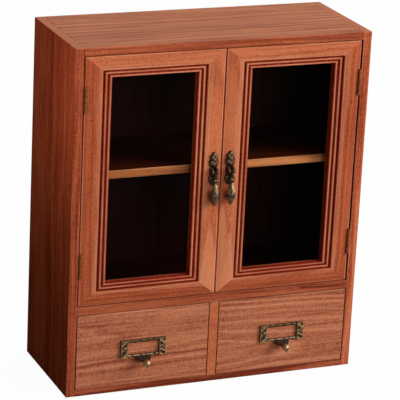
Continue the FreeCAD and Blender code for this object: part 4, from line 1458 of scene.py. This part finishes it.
    def _marks(self, part: str) -> Callable[[Vector], Flat]:
        """Gives the rule that marks a member's points.

        Args:
            part: Which member it is.

        Returns:
            A rule from a point to its glaze and wear.
        """
        table = self.profile()
        share_of = {
            "stile_outer": lambda p: (self.side.x(p.x) - self.outer) / self.stile,
            "stile_inner": lambda p: (self.inner - self.side.x(p.x)) / self.stile,
            "rail_bottom": lambda p: (p.z - self.low) / self.rail,
            "rail_top": lambda p: (self.high - p.z) / self.rail,
        }[part]

        def rule(point: Vector) -> Flat:
            """Takes the marks of the nearest point of the section."""
            share, depth = share_of(point), point.y - self.face

            def off(row: Sequence[float]) -> float:
                """Gives the square of a row's distance."""
                return ((row[0] - share) * self.stile) ** 2 + (row[1] - depth) ** 2

            return min(table, key=off)[2:]

        return rule


@dataclass
class Pull(Half):
    """The drop pull of one door: cast plate, pin, nut and swinging pendant.

    Attributes:
        x, top, wide, tall: The plate's middle, highest point, width and height.
        pin, stud: Where the cross pin is, and the height of the stud and the nut.
        outline: (out, down, swell) of the plate's edge, as shares.
        lobes: (x, down, radius, height) of the plate's raised leaves.
        collar_radius, collar_top, collar_tall: The collar's radius, top and height.
        collar: (down, out, swell) of its edge, as shares.
        drop_radius, drop_top, drop_tall: The drop's radius, top and height.
        drop: (down, out, dull) of its edge, as shares; dull is patina, and at the widest band and
            the lower cone it also paints dark reflections.
    """

    x: float = -8.5
    top: float = 236.4
    wide: float = 9.8
    tall: float = 33.4
    pin: Flat = (-65.6, 217.4)
    stud: float = 227.8
    outline: tuple[Spot, ...] = (
        (0.17, 0.035, 0.018), (0.26, 0.085, 0.010), (0.42, 0.125, 0.014),
        (0.33, 0.215, 0.014), (0.50, 0.290, 0.018), (0.44, 0.385, 0.014),
        (0.30, 0.455, 0.008), (0.42, 0.505, 0.005), (0.41, 0.730, 0.004),
        (0.50, 0.810, 0.014), (0.36, 0.915, 0.014), (0.0, 1.0, 0.024),
    )
    lobes: tuple[tuple[float, float, float, float], ...] = (
        (0.0, 2.0, 2.2, 1.0), (2.4, 4.9, 2.1, 1.0), (-2.4, 4.9, 2.1, 1.0),
        (0.0, 7.2, 1.9, 1.3), (3.1, 10.4, 2.3, 1.1), (-3.1, 10.4, 2.3, 1.1),
        (0.0, 12.0, 2.2, 1.2), (3.0, 27.0, 2.3, 0.9), (-3.0, 27.0, 2.3, 0.9),
        (0.0, 30.2, 2.8, 1.0), (0.0, 24.6, 2.4, 0.8),
    )
    collar_radius: float = 3.8
    collar_top: float = 212.5
    collar_tall: float = 6.9
    collar: tuple[Spot, ...] = (
        (0.0, 0.56, 0.0), (0.10, 0.62, 0.04), (0.18, 0.50, 0.0), (0.66, 0.62, 0.36),
        (0.74, 0.60, 0.0), (0.88, 0.74, 0.07), (1.0, 0.44, 0.0),
    )
    drop_top: float = 205.6
    drop_tall: float = 21.6
    drop_radius: float = 4.7
    # Dull rings: patina, and a painted dark reflection at the widest band and on the lower cone
    drop: tuple[Spot, ...] = (
        (0.0, 0.42, 0.25), (0.44, 0.93, 0.0), (0.51, 1.0, 0.85), (0.61, 0.98, 0.85),
        (0.68, 0.87, 0.5), (0.86, 0.54, 0.6), (1.0, 0.16, 0.8),
    )

    def build(self) -> None:
        """Builds and dresses the whole pull."""
        shop, word = self.shop, self.side.word
        name, door, swing = "pull_%s_" % word, "door_" + word, "pendant_" + word
        plate, drop = shop.finish["plate_brass"], shop.finish["drop_brass"]
        for part, solid, body, slot, node, material, smooth in (
            ("plate_cast", self.plate(), door, "aged_brass", "plate", plate, 45.0),
            ("nut_hex", self.nut(), door, "steel", "nut", None, 20.0),
            ("pendant_collar", self.hanger(), swing, "aged_brass", "pendant", plate, 40.0),
            ("pendant_drop", self.facets(), swing, "aged_brass", "pendant", drop, 12.0),
        ):
            shop.piece(name + part, solid, body, slot, name + node, material, smooth)
        shop.dress(name + "pin", plate)

    def plate(self) -> Solid:
        """Makes the cast plate with its leaves, cheeks and stud.

        Returns:
            The solid.
        """
        centre = self.side.x(self.x)
        rows = [
            (out * self.wide, -down * self.tall, -swell * self.tall)
            for out, down, swell in self.outline
        ]
        edge = [(0.0, 0.0)] + [(out, -up) for out, up in path((0.0, 0.0), rows, 5)]
        edge.sort(key=lambda point: point[1])
        rings = []
        rows, columns = 110, 30
        for row in range(rows + 1):
            down = self.tall * (0.002 + 0.996 * row / rows)
            half = max(0.12, self._width_at(edge, down))
            ring = []
            for column in range(columns + 1):
                share = 2 * column / columns - 1
                rise, hollow = self._relief(share * half, down, share)
                front = (centre + share * half, self.face - rise, self.top - down)
                ring.append((*front, hollow, 1 - hollow))
            back = (self.face + BEDDED, self.top - down, 1.0, 0.0)
            rings.append(ring + [(centre + x, *back) for x in (half, -half)])
        metal = Solid().loft(rings)
        for offset in (-2.45, 2.45):
            self._cheek(metal, centre + offset, 1.15)
        stud = [(1.5, -60.2), (1.5, -45.2), (1.2, -44.8)]
        return metal.turned(stud, (centre, 0.0, self.stud), axis=1, sides=20)

    def _width_at(self, edge: Sequence[Flat], down: float) -> float:
        """Gives the plate's half width at a depth below its top.

        Args:
            edge: (half width, down) in a row.
            down: The depth.

        Returns:
            The half width.
        """
        for start, end in zip(edge, edge[1:]):
            if start[1] <= down <= end[1]:
                span = max(1e-6, end[1] - start[1])
                return between(start[0], end[0], (down - start[1]) / span)
        return edge[-1][0]

    def _relief(self, x: float, down: float, share: float) -> Flat:
        """Gives the plate's height and how hollow it is at a point.

        Args:
            x, down: The place across from the middle, and below the top.
            share: The place across as a share of the half width.

        Returns:
            The height above the door, and the hollow from 0 to 1.
        """
        rim = math.sqrt(max(0.0, 1 - min(1.0, abs(share)) ** 5))
        bulge = 1 - (x / 5.2) ** 2 - ((down - 7.4) / 8.0) ** 2
        base = 0.35 + 0.65 * rim + 1.7 * math.sqrt(max(0.0, bulge)) * rim
        best, firm = 0.0, 0.0
        for lobe_x, lobe_down, radius, height in self.lobes:
            off = math.hypot(x - lobe_x, (down - lobe_down) * 0.95) / radius
            if off < 1:
                dome = math.sqrt(1 - off * off)
                vein = 0.12 * math.cos(9 * math.atan2(down - lobe_down, x - lobe_x)) * off
                if height * dome > best:
                    best, firm = height * (dome + vein), dome
        hollow = min(1.0, max(0.0, 1 - 1.25 * firm) ** 1.2 + (0.5 if rim < 0.55 else 0.0))
        # The band round the slot between the cheeks is glazed fully dark: painted shade of the
        # slot
        if 13.6 < down < 24.6:
            hollow = 1.0
        return base + 0.8 * best * (0.35 + 0.65 * rim), hollow

    def _cheek(self, metal: Solid, x: float, half: float) -> None:
        """Adds one cheek, which holds the cross pin.

        Args:
            metal: The solid that it joins.
            x, half: Its middle, and half of its thickness.
        """
        y, z = self.pin
        outline = [(-60.6, z + 4.0), (-62.4, z + 3.9), (-63.6, z + 3.0)]
        for step in range(9):
            angle = math.radians(110 + 140 * step / 8)
            outline.append((y + 1.5 * math.cos(angle), z + 1.5 * math.sin(angle)))
        outline += [(-63.4, z - 3.2), (-62.4, z - 4.3), (-60.6, z - 4.4)]
        rings = []
        for across, inset in ((-half, 0.86), (-half * 0.6, 1.0), (half * 0.6, 1.0), (half, 0.86)):
            inward = across * (x - self.side.x(self.x)) < 0
            edge = abs(across) == half
            # The cheeks' inward faces, in the slot, are glazed fully dark: painted shade
            marks = (1.0, 0.0) if edge and inward else (0.0, 0.3 if edge else 0.9)
            rings.append([
                (x + across, between(-62.6, deep, inset), between(z, level, inset), *marks)
                for deep, level in outline
            ])
        metal.loft(rings)

    def nut(self) -> Solid:
        """Makes the chamfered hexagon nut behind the door."""
        profile = [(2.6, -48.0), (3.2, -47.7), (3.2, -45.95), (2.6, -45.6)]
        return Solid().turned(profile, (self.side.x(self.x), 0.0, self.stud), axis=1, sides=6)

    def hanger(self) -> Solid:
        """Makes the eye, neck and lobed collar that the drop hangs from.

        Returns:
            The solid.
        """
        centre, y, z = self.side.x(self.x), *self.pin
        size, tall = self.collar_radius, self.collar_tall
        # The eye and the neck hang in the slot and are glazed dark: painted shade
        eye = [(1.45, -1.1, 0.9), (1.8, -0.8, 0.9), (1.8, 0.8, 0.9), (1.45, 1.1, 0.9)]
        metal = Solid().turned(eye, (centre, y, z), axis=0)
        neck = [(z - 0.4, 0.9, 1.4), (z - 2.4, 0.85, 1.0), (z - 4.2, 0.9, 1.1)]
        neck += [(self.collar_top - 0.6, 1.3, 1.5)]
        metal.loft([
            [
                (centre + wide * a, y + deep * b, level, 0.9, 0.0)
                for a, b in ((-1, -1), (1, -1), (1, 1), (-1, 1))
            ]
            for level, wide, deep in neck
        ])
        start = (self.collar[0][1] * size, 0.0)
        profile = [(0.1, 0.0, 0.3, 0.2), (start[0], 0.0, 0.3, 0.3)]
        rows = [(out * size, -down * tall, -swell * size) for down, out, swell in self.collar[1:]]
        for radius, height in path(start, rows, 6):
            worn = min(1.0, max(0.0, radius / size - 0.55) * 3)
            profile.append((radius, height, 0.45 - 0.45 * worn, 0.2 + worn * 0.7))
        profile.append((0.1, -tall, 0.6, 0.0))
        return metal.turned(profile, (centre, y, self.collar_top), sides=48, lobe=0.07)

    def facets(self) -> Solid:
        """Makes the faceted drop."""
        centre = (self.side.x(self.x), self.pin[0], self.drop_top)
        rings = [
            (out * self.drop_radius, -down * self.drop_tall, dull, 0.5 - dull / 2)
            for down, out, dull in self.drop
        ]
        solid = Solid().turned(rings, centre, sides=8)
        return solid.eased(solid.mesh.edges[:], 0.13)


@dataclass
class Drawer(Half):
    """One drawer: its box, front, brads and label-holder pull.

    Attributes:
        middle, level: The pull's middle, across and in height.
        frame, window: Width and height of the label holder and of its window.
        plate, raised: Thickness of the holder, and how much more its ends have.
        ball: Where the ball is, from the face and in height, and its radius.
    """

    middle: float = -73.0
    level: float = 44.0
    frame: Flat = (46.6, 18.0)
    window: Flat = (32.0, 12.2)
    plate: float = 1.8
    raised: float = 1.2
    ball: Spot = (-73.4, 32.4, 3.8)

    def build(self) -> None:
        """Builds and dresses the whole drawer."""
        self.box()
        self.fixings()
        name, body = "label_pull_" + self.side.word, "drawer_" + self.side.word
        self.shop.piece(name + "_cast", self.label_pull(), body, "aged_brass", name, smooth=38.0)

    def box(self) -> None:
        """Makes the boards of the drawer."""
        body, board = "drawer_" + self.side.word, self.shop.board
        name, seed = body + "_", 3.0 * self.side.value
        pith = (16.0, 26.0) if self.side is Side.LEFT else (-18.0, 30.0)
        front = Cut(Lay.FACE, (self.side.x(-73), 45, -60), pith, 0.035, 12.5 + seed)
        board(name + "front", body, "drawer_wood", DRAWER, front, 0.45)
        for part, lay in (("side_outer", Lay.DEEP), ("side_inner", Lay.DEEP), ("back", Lay.FACE)):
            cut = Cut(lay, (0, 0, 0), (50, 40), 0.01, seed + len(part))
            board(name + part, body, "plain_wood", PLAIN, cut)
        tray = Cut(Lay.FLAT, (0, 0, 0), (160, 50), 0.01, seed)
        self.shop.dress(name + "bottom", PLAIN.material(name + "bottom_wood", tray))

    def fixings(self) -> None:
        """Sets out the brads and the pins of the label holder."""
        shop, side, body = self.shop, self.side, "drawer_" + self.side.word
        brads = [
            ((side.x(x), self.face + 0.4, level), FORWARD)
            for x in (-136.0, -10.0)
            for level in (24.1, 63.0)
        ]
        shop.fasteners(body + "_brads", body, "steel", brads, BRAD, shop.finish["filler"])
        middle = side.x(self.middle)
        pins = [((middle + x, -63.8, self.level), FORWARD) for x in (-19.65, 19.65)]
        shop.fasteners("label_pins_" + side.word, body, "aged_brass", pins, LABEL_PIN)

    def label_pull(self) -> Solid:
        """Makes the label holder with its bars, ends, tongue and ball.

        Returns:
            The solid.
        """
        x, z = self.side.x(self.middle), self.level
        metal = Solid()
        half, rise = self.window[0] / 2, self.window[1] / 2
        outer = self.frame[1] / 2
        self._bar(metal, x, half + 0.6, z + rise, z + outer, 0.5)
        self._bar(metal, x, half + 0.6, z - outer, z - rise, 0.9)
        for sign in (-1, 1):
            self._end(metal, x + sign * (half + self.frame[0] / 2) / 2, z, sign)
        self._tongue(metal, x, z)
        self._ball(metal, x)
        beads = [
            ((x - half + 0.9 + step * 1.7, -61.75, z + rise + 1.45), FORWARD)
            for step in range(19)
        ]
        repeats, brass = self.shop.repeats, self.shop.finish["aged_brass"]
        return metal.joined(repeats.run(repeats.bead, beads, brass, radius=0.72))

    def _bar(
        self, metal: Solid, x: float, half: float, low: float, high: float, crown: float
    ) -> None:
        """Adds a long bar of the frame, with a rounded face.

        Args:
            metal: The solid that it joins.
            x, half: Its middle, and half of its length.
            low, high: Its foot and its head.
            crown: How far its middle stands above its edges.
        """
        rings = []
        for step in range(25):
            across = x - half + 2 * half * step / 24
            ring = [(across, self.face + BEDDED, level) for level in (high, low)]
            for run in range(9):
                share = run / 8
                round_off = math.sin(math.pi * share)
                height = self.plate - crown + crown * round_off
                patch = math.sin(across * 0.83 + 3 * share) + math.sin(across * 1.37 + low)
                hollow = min(1.0, 1 - round_off + max(0.0, 0.5 * patch))
                level = between(low, high, share)
                ring.append((across, self.face - height, level, hollow, 1 - hollow))
            rings.append(ring)
        metal.loft(rings)

    def _end(self, metal: Solid, x: float, z: float, sign: int) -> None:
        """Adds one end of the frame, cut with slanting ridges inside a border.

        Args:
            metal: The solid that it joins.
            x, z: Its middle, across and in height.
            sign: Which end it is.
        """
        wide = (self.frame[0] - self.window[0]) / 4
        tall = self.frame[1] / 2
        rows, columns = 60, 26
        slope, pitch = (0.9, 0.95) if sign < 0 else (0.5, 1.4)
        rings = []
        for row in range(rows + 1):
            up = between(-tall, tall, row / rows)
            ring = []
            for column in range(columns + 1):
                across = between(-wide, wide, column / columns)
                inset = min(wide - abs(across), tall - abs(up))
                border, inner = kept(inset / 0.5), kept((inset - 1.0) / 0.35)
                sway = up + 0.9 * math.sin(up * 0.55 + sign) + 0.35 * math.sin(across * 1.9)
                ridge = 0.5 + 0.5 * math.cos((across * sign * slope + sway) * pitch)
                near_pin = math.hypot(across, up) < 1.9
                cut = 0.0 if near_pin else inner * (1 - ridge)
                height = self.plate - 0.5 + border * (0.5 + self.raised) - 0.85 * cut
                hollow = min(1.0, cut * 1.1 + (1 - border) * 0.6)
                ring.append((x + across, self.face - height, z + up, hollow, 1 - hollow))
            ring += [(x + out, self.face + BEDDED, z + up, 1.0) for out in (wide, -wide)]
            rings.append(ring)
        metal.loft(rings)

    def _tongue(self, metal: Solid, x: float, z: float) -> None:
        """Adds the scalloped tongue that the finger hooks.

        Args:
            metal: The solid that it joins.
            x, z: The holder's middle, across and in height.
        """
        start, end = (-0.9, -7.5), (-12.0, -10.5)
        line = [start] + arc(start, end, -0.8, 22)
        rings = []
        for index, (out, up) in enumerate(line):
            share = index / (len(line) - 1)
            half = between(8.4, 3.1, max(0.0, share * 1.08 - 0.08))
            half *= 1 + 0.05 * math.cos(share * 5.5 * math.pi)
            ring = []
            for column in range(25):
                across = 2 * column / 24 - 1
                flute = 0.5 + 0.5 * math.cos(across * 3.5 * math.pi)
                height = 0.42 * flute * (1 - abs(across) ** 6) * (1 - 0.5 * share)
                spot = (x + across * half, self.face + out, z + up + height)
                # The tongue is glazed dark nearly all over as painted shade, with more in its
                # flutes' valleys as patina
                ring.append((*spot, 0.75 + 0.25 * (1 - flute), 0.1 * flute))
            for column in range(24, -1, -6):
                across = 2 * column / 24 - 1
                lower = 1.5 * (1 - 0.35 * abs(across) ** 3)
                ring.append((x + across * half, self.face + out, z + up - lower, 1.0, 0.0))
            rings.append(ring)
        metal.loft(rings)

    def _ball(self, metal: Solid, x: float) -> None:
        """Adds the ball at the tongue's end, and the tip that slants from it."""
        y, z, radius = self.ball
        angles = [math.pi * step / 16 for step in range(1, 16)]
        round_off = [(radius * math.sin(a), radius * math.cos(a), 0.0, 1.0) for a in angles]
        profile = [(0.15, radius), *round_off, (0.15, -radius)]
        metal.turned(profile, (x, y, z), sides=32)
        point = [(1.3, -2.9, 0.8), (1.75, -3.3, 0.1, 0.8), (1.5, -3.75, 0.4, 0.5)]
        point += [(0.95, -4.1, 0.8), (0.95, -4.9, 0.0, 0.9), (0.5, -5.75, 0.0, 0.9)]
        point += [(0.2, -5.9, 0.0, 0.9)]
        metal.add(Solid().turned(point, (x, y, z), sides=20).tipped((x, y, z), -45.0))


@dataclass
class Studio:
    """Camera, floor, lamps and surroundings.

    Attributes:
        azimuth, elevation, roll: How the camera looks at the object, in degrees.
        stand, lens: Where it is, in metres, and its focal length on a sensor 36 mm wide.
        lamps: Each lamp's name, place, target, size and power in watts.
    """

    azimuth: float = -23.118
    elevation: float = 18.716
    roll: float = 2.818
    stand: Spot = (-0.825607, -1.945597, 0.883694)
    lens: float = 204.808
    lamps: tuple[tuple[str, Spot, Spot, Flat, float], ...] = (
        ("key", (1.75, -1.45, 1.35), (0.0, 0.0, 0.18), (1.4, 1.3), 54.0),
        ("front", (0.25, -2.6, 0.95), (0.0, 0.0, 0.15), (1.2, 0.9), 16.0),
        ("overhead", (0.3, 0.5, 2.1), (0.0, 0.0, 0.3), (1.2, 0.8), 17.2),
        ("strip", (2.1, -0.85, 0.6), (0.0, -0.06, 0.2), (0.14, 0.7), 2.2),
        ("wash", (-0.31, -0.1, 0.31), (-0.15, -0.1, 0.31), (0.12, 0.07), 0.22),
    )

    def build(self) -> None:
        """Sets the whole studio up."""
        self.camera()
        self.floor()
        for lamp in self.lamps:
            self._lamp(*lamp)
        self.surroundings()
        bpy.context.scene.view_settings.view_transform = "Standard"

    def camera(self) -> None:
        """Places the camera at the photograph's viewing angle."""
        azimuth, elevation, roll = map(math.radians, (self.azimuth, self.elevation, self.roll))
        level = math.cos(elevation)
        back = Vector(
            (math.sin(azimuth) * level, -math.cos(azimuth) * level, math.sin(elevation))
        )
        right = (-back).cross(Vector(UP)).normalized()
        up = right.cross(-back)
        right, up = (
            right * math.cos(roll) + up * math.sin(roll),
            up * math.cos(roll) - right * math.sin(roll),
        )
        data = bpy.data.cameras.new("camera")
        data.lens, data.sensor_width = self.lens, 36.0
        data.clip_start, data.clip_end = 0.05, 50.0
        camera = stood("camera", data)
        turn = Matrix((right, up, back)).transposed().to_4x4()
        camera.matrix_world = Matrix.Translation(self.stand) @ turn
        bpy.context.scene.camera = camera

    def floor(self) -> None:
        """Lays the pale floor, which shows white and keeps the shadow."""
        sheet = bmesh.new()
        bmesh.ops.create_grid(sheet, x_segments=2, y_segments=2, size=8.0)
        shape = bpy.data.meshes.new("floor")
        sheet.to_mesh(shape)
        sheet.free()
        graph = Graph.called("floor")
        camera, glossy, through = self._rays(graph)
        base = graph.blend(graph.cloud(graph.place(), 60), grey(0.14), grey(0.16))
        paint, pale = (
            graph.lacquer(colour, Roughness=0.9, Specular_IOR_Level=0.0)
            for colour in (base, grey(0.9))
        )
        glow = graph.value("Emission", {"Color": WHITE, "Strength": 1.0})
        seen = (camera + glossy * 0.25 + through).capped()
        mixed = graph.either(seen, paint, graph.either(0.97, pale, glow))
        shape.materials.append(graph.done(mixed))
        shape.transform(Matrix.Translation((0, 0, -0.0002)))
        stood("floor", shape)

    @staticmethod
    def _rays(graph: Graph) -> list[Value]:
        """Tells whether a ray comes from the camera, a gloss or a clear sheet."""
        outputs = graph.node("LightPath").outputs
        kinds = ("Camera", "Glossy", "Transmission")
        return [Value(graph, outputs["Is %s Ray" % kind]) for kind in kinds]

    @staticmethod
    def _lamp(name: str, stand: Spot, target: Spot, size: Flat, power: float) -> None:
        """Hangs one soft lamp.

        Args:
            name: Its name.
            stand, target: Where it hangs and where it points, in metres.
            size, power: Its width and height, and its power in watts.
        """
        data = bpy.data.lights.new(name, "AREA")
        data.shape, data.size, data.size_y, data.energy = "RECTANGLE", *size, power
        lamp = stood(name, data)
        way = Vector(target) - Vector(stand)
        turn = way.to_track_quat("-Z", "Y").to_matrix().to_4x4()
        lamp.matrix_world = Matrix.Translation(stand) @ turn
        lamp.visible_camera = False
        lamp.visible_glossy = name != "wash"

    def surroundings(self) -> None:
        """Makes the surroundings: white to the camera, a dim room to the light."""
        world = bpy.data.worlds.new("room")
        graph = Graph(world)
        camera, glossy, through = self._rays(graph)
        way = graph.value("TexCoord", output="Generated")
        _, behind, height = (
            Value(graph, part) for part in graph.node("SeparateXYZ", {0: way}).outputs
        )
        room = graph.blend(height.rise(-0.3, 0.9), grey(0.01), grey(0.16))
        backdrop = behind.rise(0.1, 0.6) * (1 - height.rise(0.12, 0.35))
        colour = graph.blend(glossy, room, graph.blend(backdrop, room, WHITE))
        colour = graph.blend((camera + through).capped(), colour, WHITE)
        sky = graph.value("Background", {"Color": colour, "Strength": 1.0})
        graph.node("OutputWorld", {"Surface": sky})
        bpy.context.scene.world = world


def main() -> None:
    """Builds the cabinet's looks and logs each piece."""
    logging.basicConfig(level=logging.INFO, format="%(message)s")
    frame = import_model()
    Studio().build()
    shop = Workshop(frame)
    Carcase(shop).build()
    Hinges(shop).build()
    for side in Side:
        Door(shop, side).build()
        Pull(shop, side).build()
        Drawer(shop, side).build()


if __name__ == "__main__":
    main()
